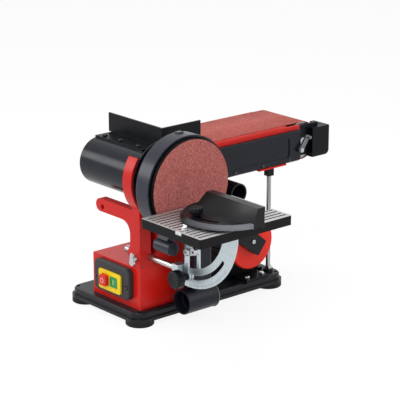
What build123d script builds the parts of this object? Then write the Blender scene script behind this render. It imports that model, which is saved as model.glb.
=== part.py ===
"""Bench belt and disc sander: 100 mm sanding belt on a swinging arm, 150 mm disc with a tilting table.

Frame: origin on the bench plane, at the centre of the four bench bolts. +X runs along the belt arm towards
the idler roller, +Y runs from the disc towards the back, +Z is up. Millimetres.
"""
from build123d import *
import math
import os

# Base
BASE_LENGTH = 318.0
BASE_WIDTH = 183.0
BASE_CORNER = 22.0
BASE_TOP = 24.0
FLANGE_TOP = 13.5
FLANGE_STEP = 3.0
TRAY_WALL = 4.5
TRAY_SKIN = 5.0
FOOT_HEIGHT = 8.5
FOOT_RADIUS = 22.8
FOOT_SPAN_X = 274.0
FOOT_SPAN_Y = 139.0
BOLT_SPAN_X = 291.0
BOLT_SPAN_Y = 159.0
BOLT_HOLE = 7.0
WIRING_X = (-124.0, -46.0)
WIRING_Y = (-64.0, 30.0)

# Main shaft, sanding disc and guard
AXIS_X = -94.5
AXIS_Z = 233.5
DISC_RADIUS = 75.0
SHEET_RADIUS = 73.8
DISC_FACE_Y = -145.8
ABRASIVE = 1.3
DISC_WEB = 5.7
DISC_RIM = 4.0
DISC_BACK_Y = -129.0
DISC_HUB_RADIUS = 14.0
DISC_HUB_BACK_Y = -118.0
SHAFT_RADIUS = 7.5
SHAFT_ROOM = 1.5
RUNNING_FIT = 0.05
GUARD_RADIUS = 79.2
GUARD_FRONT_Y = -137.0
GUARD_BACK_Y = -107.3
GUARD_WALL = 3.0
GUARD_STUD_CIRCLE = 48.0
GUARD_STUD_ANGLES = (160, 215, 268)
GUARD_STUD_RADIUS = 6.0
GUARD_BOSS = (-131.0, 141.5)
GUARD_BOSS_RADIUS = 11.0
GUARD_BOSS_Y = (-146.0, -110.0)

# Dust chute below the guard
CHUTE_X = (AXIS_X + 26, AXIS_X + 60)
CHUTE_Y = (-126.0, -93.0)
CHUTE_TOP = AXIS_Z - 46
CHUTE_WALL = 2.0
HOSE_X = (AXIS_X + 8, AXIS_X + 70)
HOSE_Y = -112.0
HOSE_Z = 35.0
HOSE_RADIUS = 20.0
HOSE_SOCKET = 16.5
HOSE_STOP = 1.5

# Red pedestal and frame casting
PEDESTAL_X = (-141.2, -30.0)
PEDESTAL_Y = (-76.5, 43.0)
PEDESTAL_TOP = 91.5
CASTING_WALL = 5.0
COLUMN_Y = (-76.5, -58.5)
COLUMN_RIGHT = -50.0
COLUMN_POCKET_Z = (112.0, 182.0)
COLUMN_TOP = AXIS_Z - 44
RING_OUTER = 65.0
RING_INNER = 57.4
RING_Y = (-79.5, -58.5)
RING_WEB = 4.0
RING_OPENING = (-52, 142)
HUB_RADIUS = 25.0
HUB_BACK_Y = -59.0
BEARING_RADIUS = 17.5
BEARING_DEPTH = 11.5
REAR_ARM_RIGHT = -127.4
REAR_ARM_Z = (164.5, 185.5)
REAR_ARM_END_Y = 33.5
REAR_WEB = 6.0
REAR_FILLET = 20.0
REAR_HOLE = (17.0, 172.5)
REAR_HOLE_RADIUS = 4.3
GLAND = (-90.0, 48.0)
GLAND_RADIUS = 6.0
GLAND_BORE = 3.8

# Toothed-belt drive and motor
MOTOR_X = 92.5
MOTOR_Z = 86.0
SHIELD_RADIUS = 44.5
SHIELD_Y = (-79.5, -72.5)
MOTOR_RADIUS = 38.0
MOTOR_WALL = 3.0
MOTOR_BACK_Y = 40.0
MOTOR_END = 5.0
STATOR_Y = (-52.0, 22.0)
STATOR_BORE = 24.0
ROTOR_Y = (-50.0, 20.0)
ROTOR_RADIUS = 23.4
FAN_BACK_Y = 70.0
FAN_Y = (44.0, 58.0)
FAN_HUB_RADIUS = 12.0
FAN_BLADES = 8
FAN_SLOTS = 12
MOTOR_SHAFT_RADIUS = 6.0
CRADLE_Y = (-58.0, 28.0)
CRADLE_HALF = 32.0
CRADLE_FOOT_HALF = 42.0
CRADLE_FOOT = 6.0
CRADLE_TAB_HALF = 24.0
CRADLE_TAB_Y = -93.0
DRIVE_RATIO = 2.0
MOTOR_PULLEY_RADIUS = 9.0
DRIVE_CASE_Y = (-92.0, -79.5)
CASE_BACK = 2.5
CASE_WALL = 2.0
CASE_DISC_RADIUS = 62.0
CASE_CORNER = 2.0
CASE_SCREW_SPOTS = (0.05, 0.78)
PULLEY_Y = (-89.0, -83.0)
TOOTHED_BELT = 1.5
BELT_GAP = 0.3

# Sanding belt, drum and idler
BELT_Y = (-59.5, 40.5)
BELT_THICKNESS = 1.0
DRUM_RADIUS = 31.5
DRUM_Y = (-57.5, 39.0)
DRUM_SHELL = 4.0
DRUM_END = 7.0
IDLER_X = 219.0
IDLER_AXLE_RADIUS = 6.0

# Belt arm
NEAR_PLATE_Y = (-67.5, -64.5)
FAR_PLATE_Y = (45.0, 48.0)
PLATE_Z = (203.0, 264.0)
PLATE_END_X = 207.0
BOSS_RADIUS = 40.0
BOSS_FRONT_Y = -75.0
FAR_BOSS_RADIUS = 30.5
FAR_BEARING_RADIUS = 16.0
FAR_BEARING_Y = (43.0, 52.0)
PLATEN_X = (-58.0, 180.0)
PLATEN_THICK = 6.0
CROSS_RIB_X = (-52.0, 132.0)
COVER_X = (-28.0, 206.0)
COVER_Y = (-73.5, -67.5)
COVER_Z = (205.0, 257.0)
COVER_PANEL = (26.0, 9.0)
COVER_SCREW_X = (60.0, 120.0, 180.0)
REST_X = (112.0, 172.0)
REST_Y = (-74.0, -62.0)

# Drum hood and work fence
HOOD_X = -106.5
HOOD_RADIUS = 38.0
HOOD_WALL = 2.0
HOOD_Y = (-58.0, 70.0)
HOOD_END_X = AXIS_X + 30
FENCE_X = -77.0
FENCE_THICK = 3.0
FENCE_NEAR_Y = -57.5
FENCE_FAR_Y = 76.5
FENCE_RIGHT_X = -0.5
FENCE_Z = (268.5, 305.0)
FENCE_BOLT_Y = (-30.0, 15.0, 55.0)

# Dust port under the belt
PORT_X = 57.5
PORT_Z = 178.0
PORT_RADIUS = 17.0
PORT_Y = (-84.5, -40.0)
PORT_WALL = 2.5
SCOOP_X = (0.0, 52.0)
SCOOP_Y = (-60.5, 32.0)
SCOOP_TOP = 188.0
COLLECTOR_RIGHT = 38.0
HANGER_X = (8.0, 36.0)
HANGER_FRONT_Y = -70.5
HANGER_LOW = 180.0
LUG_LOW = 193.5

# Idler yoke, tracking knob and tension lever
TENSION_TRAVEL = 8.0
YOKE_NEAR_Y = (-64.0, -60.5)
YOKE_FAR_Y = (41.5, 44.5)
YOKE_X = (166.0, 252.0)
YOKE_HALF = 14.0
CHEEK_X = (200.0, 252.0)
CHEEK_Z = (AXIS_Z - 24, AXIS_Z + 28)
BLOCK_X = (232.0, 270.0)
BLOCK_FRONT_Y = -73.5
BLOCK_BACK_Y = -36.5
TRACKING_Y = -47.0
TRACKING_RADIUS = 9.0
SCREW_RADIUS = 3.0
LEVER_PIVOT = (201.0, 224.0)
LEVER_TIP = (216.0, 244.0)
LEVER_Y = (-79.5, -75.0)
LEVER_PIN_RADIUS = 2.5

# Stay post that the arm rests on
POST_X = 139.0
POST_Y = -67.5
POST_RADIUS = 3.75
POST_TOP = 202.0
POST_SEAT_RADIUS = 8.5
POST_SEAT_TOP = 29.0

# Work table, quadrant and support bar
TABLE_X = (-196.0, -15.5)
TABLE_Y = (-284.0, -148.8)
TABLE_TOP = 205.3
TABLE_DEPTH = 15.0
TABLE_SKIN = 4.0
TABLE_RIM = 4.0
GROOVE_PITCH = 9.6
GROOVE_WIDTH = 3.4
GROOVE_DEPTH = 1.5
TILT_Y = -161.0
TILT_Z = 193.5
PIN_RADIUS = 3.0
PIN_X = (-128.0, -106.5)
LEFT_LUG_X = (-127.0, -120.0)
LUG_HALF = 7.0
SLOT_RADIUS = 95.0
SLOT_HALF = 3.6
SLOT_ANGLES = (-146, -90)
QUADRANT_X = (-114.6, -112.1)
QUADRANT_RADII = (81.0, 112.0)
QUADRANT_ARM_Y = (TILT_Y - 26, TILT_Y - 20)
QUADRANT_LUG = 6.0
BRACKET_X = (-118.5, -115.0)
BRACKET_HALF = 4.0
BRACKET_BOLTS = ((TILT_Y - 20, 144.5), (TILT_Y - 3, 140.0))
BAR_X = -121.5
BAR_Z = 108.8
BAR_RADIUS = 5.5
BAR_Y = (-152.0, -20.0)
BAR_BOSS_RADIUS = 10.0
BAR_BOSS_BACK_Y = -34.0
CLAMP_HALF = 8.5
CLAMP_LENGTH = 13.5
TILT_KNOB_X = (-145.0, -131.0)
TILT_KNOB_RADIUS = 15.0
TILT_KNOB_FLUTES = 12
WING_Y = COLUMN_Y[0] + 9

# Mitre gauge
MITRE_X = -100.5
MITRE_Y = -233.5
MITRE_RADIUS = 70.0
MITRE_RIM = 6.0
MITRE_BEVEL = 4.5
MITRE_PLATE_Z = (TABLE_TOP + 3.3, TABLE_TOP + 9.0)
MITRE_RIM_TOP = TABLE_TOP + 11.0
MITRE_WALL_X = (MITRE_X - 3, MITRE_X + 10)
MITRE_WALL_Y = (MITRE_Y - 71.5, MITRE_Y + 43)
MITRE_FOOT = (12.0, 32.0)
MITRE_TOP = 238.5
MITRE_SLOT_WIDTH = 16.0
MITRE_SLOT_DEPTH = 6.0
MITRE_SLOT_HALF = 3.4
MITRE_SWIVEL = (-55, 5)
MITRE_STUD = (-43.0, 20.0)
MITRE_PIVOT_RADIUS = 4.0
MITRE_KNOB_RADIUS = 10.5
POINTER_X = MITRE_X - 84

# Switch
SWITCH_X = -151.0
SWITCH_Y = (-60.0, 29.0)
SWITCH_Z = (37.0, 88.0)
BEZEL_Y = (-42.0, 13.0)
BEZEL_Z = (43.0, 75.5)
BEZEL_THICK = 3.0
BEZEL_LIP = 3.0
STOP_Y = (-12.5, 3.5)
STOP_CAP_Y = (-13.5, 4.5)
STOP_CAP_Z = (51.0, 69.0)
STOP_CAP_X = (-161.4, -157.3)
START_Y = (-34.0, -15.5)
BUTTON_Z = (51.5, 68.5)
BUTTON_GAP = 0.4
SWITCH_SCREW_Y = (-53.5, 24.5)
SWITCH_SCREW_Z = 58.0


def block(x, y, z):
    """Box between two limits on each axis."""
    centre = Pos((x[0] + x[1]) / 2, (y[0] + y[1]) / 2, (z[0] + z[1]) / 2)
    return centre * Box(x[1] - x[0], y[1] - y[0], z[1] - z[0])


def rod_x(y, z, radius, x):
    """Cylinder along X."""
    return Pos((x[0] + x[1]) / 2, y, z) * Rot(0, 90, 0) * Cylinder(radius, x[1] - x[0])


def rod_y(x, z, radius, y):
    """Cylinder along Y."""
    return Pos(x, (y[0] + y[1]) / 2, z) * Rot(90, 0, 0) * Cylinder(radius, y[1] - y[0])


def rod_z(x, y, radius, z):
    """Cylinder along Z."""
    return Pos(x, y, (z[0] + z[1]) / 2) * Cylinder(radius, z[1] - z[0])


def slab_y(face, y):
    """Sketch drawn in X and Z, thickened between two Y limits."""
    return extrude(Plane.XZ.offset(-y[1]) * face, amount=y[1] - y[0])


def slab_x(face, x):
    """Sketch drawn in Y and Z, thickened between two X limits."""
    return extrude(Plane.YZ.offset(x[0]) * face, amount=x[1] - x[0])


def slab_z(face, z):
    """Sketch drawn in X and Y, thickened between two Z limits."""
    return extrude(Plane.XY.offset(z[0]) * face, amount=z[1] - z[0])


def polygon(*points):
    """Closed flat outline through the given points."""
    return make_face(Polyline(*points, close=True))


def rectangle(u, v):
    """Flat rectangle between two limits on each sketch axis."""
    return Pos((u[0] + u[1]) / 2, (v[0] + v[1]) / 2) * Rectangle(u[1] - u[0], v[1] - v[0])


def rounded(u, v, radius):
    """Flat rectangle with round corners between two limits on each sketch axis."""
    centre = Pos((u[0] + u[1]) / 2, (v[0] + v[1]) / 2)
    return centre * RectangleRounded(u[1] - u[0], v[1] - v[0], radius)


def grown(limits, by):
    """Pair of limits moved apart by the same amount at each end."""
    return limits[0] - by, limits[1] + by


def hull(*circles):
    """Tight outline round circles given as (u, v, radius)."""
    edges = [edge for u, v, radius in circles for edge in (Pos(u, v) * Circle(radius)).edges()]
    return make_hull(edges)


def ring(centre, outer, inner):
    """Flat ring between two radii."""
    return Pos(*centre) * (Circle(outer) - Circle(inner))


def sector(centre, radius, first, last):
    """Pie slice from one angle to another, in degrees, at most 170 degrees wide."""
    middle = (first + last) / 2
    far = radius / math.cos(math.radians((last - first) / 2))
    corners = [centre]
    for angle, reach in ((first, far), (middle, far), (last, far)):
        corners.append(polar(centre, reach, angle))
    return polygon(*corners)


def polar(centre, radius, angle):
    """Point on a circle, angle in degrees."""
    turn = math.radians(angle)
    return centre[0] + radius * math.cos(turn), centre[1] + radius * math.sin(turn)


def arc_slot(centre, radius, half, first, last):
    """Slot with round ends that follows a circle from one angle to another."""
    slot = ring(centre, radius + half, radius - half) & sector(centre, radius * 1.3, first, last)
    for angle in (first, last):
        slot += Pos(*polar(centre, radius, angle)) * Circle(half)
    return slot


def corner_spots(span_x, span_y):
    """Plan positions at the four corners of a rectangle round the origin."""
    return [(sx * span_x / 2, sy * span_y / 2) for sx in (-1, 1) for sy in (-1, 1)]


def cap_screws_y(spots, y_face, radius, height, shank, depth):
    """Round-headed screws driven along +Y into a face, as a list of separate solids."""
    screws = []
    for x, z in spots:
        head = rod_y(x, z, radius, (y_face - height, y_face))
        socket = rod_y(x, z, radius * 0.5, (y_face - height, y_face - height * 0.5))
        screws.append(head - socket + rod_y(x, z, shank, (y_face, y_face + depth)))
    return screws


AXIS = (AXIS_X, AXIS_Z)
MOTOR = (MOTOR_X, MOTOR_Z)
BELT_OUTER = DRUM_RADIUS + BELT_THICKNESS
PULLEY_RADIUS = MOTOR_PULLEY_RADIUS * DRIVE_RATIO
BELT_END_X = IDLER_X + BELT_OUTER
STUD_Z = TILT_Z - SLOT_RADIUS
GUARD_STUDS = [polar(AXIS, GUARD_STUD_CIRCLE, angle) for angle in GUARD_STUD_ANGLES]
nodes = {}


def make_base():
    """Base tray with a stepped rim, corner bosses, post seat and a wiring opening, and the rubber feet."""
    def plan(inset):
        return RectangleRounded(BASE_LENGTH - 2 * inset, BASE_WIDTH - 2 * inset, BASE_CORNER - inset)

    tray = slab_z(plan(FLANGE_STEP), (FOOT_HEIGHT, BASE_TOP))
    tray = chamfer(tray.faces().sort_by(Axis.Z)[-1].edges(), 2.0)
    tray += slab_z(plan(0), (FOOT_HEIGHT, FLANGE_TOP))
    tray -= slab_z(plan(FLANGE_STEP + TRAY_WALL), (FOOT_HEIGHT, BASE_TOP - TRAY_SKIN))
    bolts = corner_spots(BOLT_SPAN_X, BOLT_SPAN_Y)
    feet = []
    for (x, y), bolt in zip(corner_spots(FOOT_SPAN_X, FOOT_SPAN_Y), bolts):
        tray += rod_z(x, y, FOOT_RADIUS, (FOOT_HEIGHT, FLANGE_TOP))
        tray += rod_z(x, y, FOOT_RADIUS - 2 * FLANGE_STEP, (FOOT_HEIGHT, BASE_TOP - TRAY_SKIN))
        foot = rod_z(x, y, FOOT_RADIUS, (0, FOOT_HEIGHT))
        foot = chamfer(foot.faces().sort_by(Axis.Z)[0].edges(), 1.0)
        feet.append(foot - rod_z(*bolt, BOLT_HOLE / 2, (0, FOOT_HEIGHT)))
    tray += rod_z(POST_X, POST_Y, POST_SEAT_RADIUS, (BASE_TOP - 2, POST_SEAT_TOP))
    for bolt in bolts:
        tray -= rod_z(*bolt, BOLT_HOLE / 2, (FOOT_HEIGHT, BASE_TOP))
    tray -= rod_z(POST_X, POST_Y, POST_RADIUS, (BASE_TOP - 2, POST_SEAT_TOP))
    tray -= block(WIRING_X, WIRING_Y, (FOOT_HEIGHT, BASE_TOP))
    nodes["base_tray"] = tray
    nodes["rubber_feet"] = Compound(children=feet)


def make_pedestal():
    """Hollow red pedestal with the switch window, and the cable gland in its back."""
    shell = block(PEDESTAL_X, PEDESTAL_Y, (BASE_TOP, PEDESTAL_TOP))
    wall = CASTING_WALL
    shell -= block(grown(PEDESTAL_X, -wall), grown(PEDESTAL_Y, -wall), (BASE_TOP, PEDESTAL_TOP - wall))
    window_x = (PEDESTAL_X[0], PEDESTAL_X[0] + wall)
    shell -= block(window_x, grown(BEZEL_Y, -BEZEL_LIP), grown(BEZEL_Z, -BEZEL_LIP))
    back = PEDESTAL_Y[1]
    shell -= rod_y(*GLAND, GLAND_RADIUS, (back - wall, back))
    nodes["pedestal"] = shell
    gland = rod_y(*GLAND, GLAND_RADIUS, (back - wall, back))
    gland += slab_y(Pos(*GLAND) * RegularPolygon(10.0, 6), (back, back + 5))
    gland += Pos(GLAND[0], back + 11, GLAND[1]) * Rot(-90, 0, 0) * Cone(8.0, 6.0, 12)
    nodes["cable_gland"] = gland - rod_y(*GLAND, GLAND_BORE, (back - wall, back + 20))


def make_casting():
    """Red frame casting on the pedestal: column, ring with bearing hub and guard studs, and rear arm.

    The three solids meet face to face.
    """
    left = PEDESTAL_X[0]
    column = slab_y(rectangle((left, COLUMN_RIGHT), (PEDESTAL_TOP, COLUMN_TOP)), COLUMN_Y)
    column -= rod_y(*AXIS, RING_OUTER, COLUMN_Y)
    column += rod_y(BAR_X, BAR_Z, BAR_BOSS_RADIUS, (COLUMN_Y[1], BAR_BOSS_BACK_Y))
    column -= block(grown(QUADRANT_X, 4.5), (COLUMN_Y[0] - 1, COLUMN_Y[1] - 3.5), COLUMN_POCKET_Z)
    column -= rod_y(BAR_X, BAR_Z, BAR_RADIUS + RUNNING_FIT, (COLUMN_Y[0], BAR_BOSS_BACK_Y))
    column -= rod_x(WING_Y, BAR_Z, SCREW_RADIUS + RUNNING_FIT, (left, BAR_X))
    first, last = RING_OPENING
    middle = (first + last) / 2
    opening = sector(AXIS, RING_OUTER + 5, first, middle + 1) + sector(AXIS, RING_OUTER + 5, middle - 1, last)
    rim = slab_y(ring(AXIS, RING_OUTER, RING_INNER) - opening, RING_Y)
    web = slab_y(Pos(*AXIS) * Circle(RING_OUTER) - opening, (RING_Y[0], RING_Y[0] + RING_WEB))
    hub = rod_y(*AXIS, HUB_RADIUS - RUNNING_FIT, (RING_Y[0], HUB_BACK_Y))
    seat = rim + web + hub
    for x, z in GUARD_STUDS:
        seat += rod_y(x, z, GUARD_STUD_RADIUS, (GUARD_BACK_Y, RING_Y[0]))
    seat -= rod_y(*AXIS, BEARING_RADIUS, (RING_Y[0], RING_Y[0] + BEARING_DEPTH))
    seat -= rod_y(*AXIS, SHAFT_RADIUS + SHAFT_ROOM, (RING_Y[0], HUB_BACK_Y))
    nodes["frame_casting"] = Compound(children=[column, seat, make_rear_arm()])


def make_rear_arm():
    """Rear arm with its cross hole and the rounded web down to the pedestal."""
    front = COLUMN_Y[1]
    low, top = REAR_ARM_Z
    end_radius = (top - low) / 2
    end = (REAR_ARM_END_Y - end_radius, (low + top) / 2)
    web_y = front + REAR_WEB
    arm = rectangle((front, end[0]), REAR_ARM_Z) + Pos(*end) * Circle(end_radius)
    arm += rectangle((front, web_y), (PEDESTAL_TOP, top))
    corner = rectangle((web_y, web_y + REAR_FILLET), (low - REAR_FILLET, low))
    arm += corner - Pos(web_y + REAR_FILLET, low - REAR_FILLET) * Circle(REAR_FILLET)
    arm -= Pos(*REAR_HOLE) * Circle(REAR_HOLE_RADIUS)
    return slab_x(arm, (PEDESTAL_X[0], REAR_ARM_RIGHT))


def make_switch():
    """Switch box with yellow bezel, the start button and the wide stop button."""
    left = PEDESTAL_X[0]
    front = SWITCH_X - BEZEL_THICK
    box = slab_x(rounded(SWITCH_Y, SWITCH_Z, 9.0), (SWITCH_X, left))
    box = fillet(box.faces().sort_by(Axis.X)[0].edges(), 2.5)
    window = grown(BEZEL_Y, -BEZEL_LIP), grown(BEZEL_Z, -BEZEL_LIP)
    box -= block((SWITCH_X, left), *window)
    bezel = slab_x(rounded(BEZEL_Y, BEZEL_Z, 4.0), (front, SWITCH_X))
    bezel += block((SWITCH_X, left + 14), grown(window[0], -0.2), grown(window[1], -0.2))
    for y in (STOP_Y, START_Y):
        bezel -= block((front, left + 2), grown(y, BUTTON_GAP), grown(BUTTON_Z, BUTTON_GAP))
    nodes["switch_box"] = box
    nodes["switch_block"] = bezel
    cap = slab_x(rounded(STOP_CAP_Y, STOP_CAP_Z, 4.0), STOP_CAP_X)
    cap = fillet(cap.faces().sort_by(Axis.X)[0].edges(), 1.5)
    nodes["stop_button"] = cap + slab_x(rounded(STOP_Y, BUTTON_Z, 3.0), (STOP_CAP_X[1], left - 6))
    start = slab_x(rounded(START_Y, BUTTON_Z, 2.0), (front - 0.5, left - 6))
    nodes["start_button"] = fillet(start.faces().sort_by(Axis.X)[0].edges(), 0.8)
    screws = [rod_x(y, SWITCH_SCREW_Z, 2.2, (SWITCH_X - 0.8, SWITCH_X)) for y in SWITCH_SCREW_Y]
    nodes["switch_screws"] = Compound(children=screws)


def make_motor():
    """Motor with red front shield, housing, stator, fan cover, cradle and the turning rotor."""
    shield = slab_y(Pos(*MOTOR) * Circle(SHIELD_RADIUS), SHIELD_Y)
    shield = chamfer(shield.faces().sort_by(Axis.Y)[0].edges(), 1.5)
    shield -= rod_y(*MOTOR, MOTOR_SHAFT_RADIUS + RUNNING_FIT, SHIELD_Y)
    inner = MOTOR_RADIUS - MOTOR_WALL
    end_y = MOTOR_BACK_Y - MOTOR_END
    housing = rod_y(*MOTOR, MOTOR_RADIUS, (SHIELD_Y[1], MOTOR_BACK_Y))
    housing -= rod_y(*MOTOR, inner, (SHIELD_Y[1], end_y))
    housing -= rod_y(*MOTOR, MOTOR_SHAFT_RADIUS + RUNNING_FIT, (end_y, MOTOR_BACK_Y))
    fan_cover = rod_y(*MOTOR, MOTOR_RADIUS + 1, (MOTOR_BACK_Y, FAN_BACK_Y))
    fan_cover = fillet(fan_cover.faces().sort_by(Axis.Y)[-1].edges(), 5.0)
    fan_cover -= rod_y(*MOTOR, MOTOR_RADIUS - 1, (MOTOR_BACK_Y, FAN_BACK_Y - 2))
    for index in range(FAN_SLOTS):
        angle = index * 360 / FAN_SLOTS
        slot = Pos(*polar(MOTOR, STATOR_BORE, angle)) * Rot(0, 0, angle) * SlotOverall(16.0, 4.0)
        fan_cover -= slab_y(slot, (FAN_BACK_Y - 4, FAN_BACK_Y + 1))
    rotor = rod_y(*MOTOR, MOTOR_SHAFT_RADIUS, (PULLEY_Y[0], FAN_Y[1] + 2))
    rotor += rod_y(*MOTOR, ROTOR_RADIUS, ROTOR_Y)
    rotor += rod_y(*MOTOR, FAN_HUB_RADIUS, FAN_Y)
    fan_middle = Pos(MOTOR_X, (FAN_Y[0] + FAN_Y[1]) / 2, MOTOR_Z)
    for index in range(FAN_BLADES):
        turn = Rot(0, index * 360 / FAN_BLADES, 0)
        rotor += fan_middle * turn * Pos(20, 0, 0) * Box(24, FAN_Y[1] - FAN_Y[0], 2)
    cradle = block((MOTOR_X - CRADLE_HALF, MOTOR_X + CRADLE_HALF), CRADLE_Y, (BASE_TOP, MOTOR_Z - 28))
    cradle -= rod_y(*MOTOR, MOTOR_RADIUS, CRADLE_Y)
    foot_x = (MOTOR_X - CRADLE_FOOT_HALF, MOTOR_X + CRADLE_FOOT_HALF)
    cradle += block(foot_x, CRADLE_Y, (BASE_TOP, BASE_TOP + CRADLE_FOOT))
    tab_x = (MOTOR_X - CRADLE_TAB_HALF, MOTOR_X + CRADLE_TAB_HALF)
    cradle += block(tab_x, (CRADLE_TAB_Y, CRADLE_Y[0]), (BASE_TOP, BASE_TOP + CRADLE_FOOT))
    spots = [(x, y) for x in grown(foot_x, -4.8) for y in grown(CRADLE_Y, -10)]
    spots += [(x, CRADLE_TAB_Y + 8) for x in grown(tab_x, -8)]
    bolts = []
    for spot in spots:
        hexagon = Pos(*spot) * RegularPolygon(4.5, 6)
        bolts.append(slab_z(hexagon, (BASE_TOP + CRADLE_FOOT, BASE_TOP + CRADLE_FOOT + 4)))
    nodes["motor_shield"] = shield
    nodes["motor_housing"] = housing
    nodes["motor_stator"] = rod_y(*MOTOR, inner, STATOR_Y) - rod_y(*MOTOR, STATOR_BORE, STATOR_Y)
    nodes["fan_cover"] = fan_cover
    nodes["motor_rotor"] = rotor
    nodes["motor_cradle"] = cradle
    nodes["motor_bolts"] = Compound(children=bolts)
    pulley = rod_y(*MOTOR, MOTOR_PULLEY_RADIUS, PULLEY_Y)
    nodes["motor_pulley"] = pulley - rod_y(*MOTOR, MOTOR_SHAFT_RADIUS, PULLEY_Y)


def make_drive():
    """Drive case in two halves, toothed belt, driven pulley, shaft, drum, front bearing and screws."""
    front, rear = DRIVE_CASE_Y
    split = rear - CASE_BACK
    room = TOOTHED_BELT + 1.5
    big = PULLEY_RADIUS + room + CASE_WALL
    small = MOTOR_PULLEY_RADIUS + room + CASE_WALL
    length = math.dist(AXIS, MOTOR)
    along = ((MOTOR_X - AXIS_X) / length, (MOTOR_Z - AXIS_Z) / length)
    reach = small - CASE_CORNER
    end_corners = []
    for side in (-1, 1):
        x = MOTOR_X + reach * (along[0] - side * along[1])
        z = MOTOR_Z + reach * (along[1] + side * along[0])
        end_corners.append((x, z, CASE_CORNER))
    outline = hull((*AXIS, big), *end_corners)
    cavity = hull((*MOTOR, small - CASE_WALL), (*AXIS, big - CASE_WALL))
    shaft_hole = rod_y(*AXIS, SHAFT_RADIUS + SHAFT_ROOM, DRIVE_CASE_Y)
    back = slab_y(outline + Pos(*AXIS) * Circle(CASE_DISC_RADIUS), (split, rear)) - shaft_hole
    back -= rod_y(*MOTOR, MOTOR_SHAFT_RADIUS + 1, DRIVE_CASE_Y)
    for x, z in GUARD_STUDS:
        back -= rod_y(x, z, GUARD_STUD_RADIUS + BELT_GAP, DRIVE_CASE_Y)
    cover = slab_y(outline, (front, split)) - slab_y(cavity, (front + CASE_WALL, split)) - shaft_hole
    spots = [(MOTOR_X - t * length * along[0], MOTOR_Z - t * length * along[1]) for t in CASE_SCREW_SPOTS]
    for x, z in spots:
        cover -= rod_y(x, z, 1.5, (front, front + CASE_WALL))
    belt_inner = hull((*MOTOR, MOTOR_PULLEY_RADIUS + BELT_GAP), (*AXIS, PULLEY_RADIUS + BELT_GAP))
    belt_outer = hull(
        (*MOTOR, MOTOR_PULLEY_RADIUS + BELT_GAP + TOOTHED_BELT),
        (*AXIS, PULLEY_RADIUS + BELT_GAP + TOOTHED_BELT)
    )
    nodes["drive_case_back"] = back
    nodes["drive_case_cover"] = cover
    nodes["toothed_belt"] = slab_y(belt_outer - belt_inner, grown(PULLEY_Y, -0.5))
    nodes["driven_pulley"] = rod_y(*AXIS, PULLEY_RADIUS, PULLEY_Y) - rod_y(*AXIS, SHAFT_RADIUS, PULLEY_Y)
    disc_inside_y = DISC_FACE_Y + ABRASIVE + DISC_WEB
    nodes["main_shaft"] = rod_y(*AXIS, SHAFT_RADIUS, (disc_inside_y, FAR_BEARING_Y[1] + 2))
    bearing = rod_y(*AXIS, BEARING_RADIUS, (RING_Y[0] + 0.5, RING_Y[0] + BEARING_DEPTH))
    nodes["front_bearing"] = bearing - rod_y(*AXIS, SHAFT_RADIUS + RUNNING_FIT, RING_Y)
    nodes["drive_drum"] = roller(*AXIS, SHAFT_RADIUS)
    screws = cap_screws_y(spots, front, 3.5, 2.5, 1.5, CASE_WALL)
    screws += cap_screws_y(GUARD_STUDS, GUARD_BACK_Y - GUARD_WALL, 4.0, 2.5, 2.0, GUARD_WALL)
    nodes["case_screws"] = Compound(children=screws)


def roller(x, z, bore):
    """Hollow roller: tube with an end disc at each side and a through bore."""
    tube = rod_y(x, z, DRUM_RADIUS, DRUM_Y)
    tube -= rod_y(x, z, DRUM_RADIUS - DRUM_SHELL, grown(DRUM_Y, -DRUM_END))
    tube += rod_y(x, z, bore + 5, DRUM_Y)
    return tube - rod_y(x, z, bore, DRUM_Y)


def make_disc():
    """Sanding disc with its abrasive sheet, guard and the dust chute below."""
    face_y = DISC_FACE_Y + ABRASIVE
    hub_y = (face_y + DISC_WEB, DISC_HUB_BACK_Y)
    plate = rod_y(*AXIS, DISC_RADIUS, (face_y, DISC_BACK_Y))
    plate -= rod_y(*AXIS, DISC_RADIUS - DISC_RIM, (face_y + DISC_WEB, DISC_BACK_Y))
    plate += rod_y(*AXIS, DISC_HUB_RADIUS, hub_y)
    nodes["disc_plate"] = plate - rod_y(*AXIS, SHAFT_RADIUS, hub_y)
    nodes["abrasive_disc"] = rod_y(*AXIS, SHEET_RADIUS, (DISC_FACE_Y, face_y))
    guard = rod_y(*AXIS, GUARD_RADIUS, (GUARD_FRONT_Y, GUARD_BACK_Y))
    guard = fillet(guard.faces().sort_by(Axis.Y)[-1].edges(), 3.0)
    boss = hull((*GUARD_BOSS, GUARD_BOSS_RADIUS - 2), (GUARD_BOSS[0] + 12, AXIS_Z - GUARD_RADIUS + 8, 6.0))
    guard += slab_y(boss, (GUARD_FRONT_Y + 3, GUARD_BOSS_Y[1]))
    guard += rod_y(*GUARD_BOSS, GUARD_BOSS_RADIUS, GUARD_BOSS_Y)
    guard -= rod_y(*AXIS, GUARD_RADIUS - GUARD_WALL, (GUARD_FRONT_Y, GUARD_BACK_Y - GUARD_WALL))
    guard -= rod_y(*AXIS, HUB_RADIUS - 5, (GUARD_FRONT_Y, GUARD_BACK_Y))
    top = AXIS_Z + GUARD_RADIUS
    guard += block((AXIS_X - 5, AXIS_X + 5), (-121.0, -112.0), (top - 2.0, top + 2.0))
    mouth_z = (AXIS_Z - GUARD_RADIUS, CHUTE_TOP)
    guard -= block(grown(CHUTE_X, -4), (CHUTE_Y[0] + 4, GUARD_BACK_Y - 4), mouth_z)
    for x, z in GUARD_STUDS:
        guard -= rod_y(x, z, 2.0, (GUARD_BACK_Y - GUARD_WALL, GUARD_BACK_Y))
    nodes["disc_guard"] = guard
    nodes["dust_chute"] = make_chute()


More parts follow.
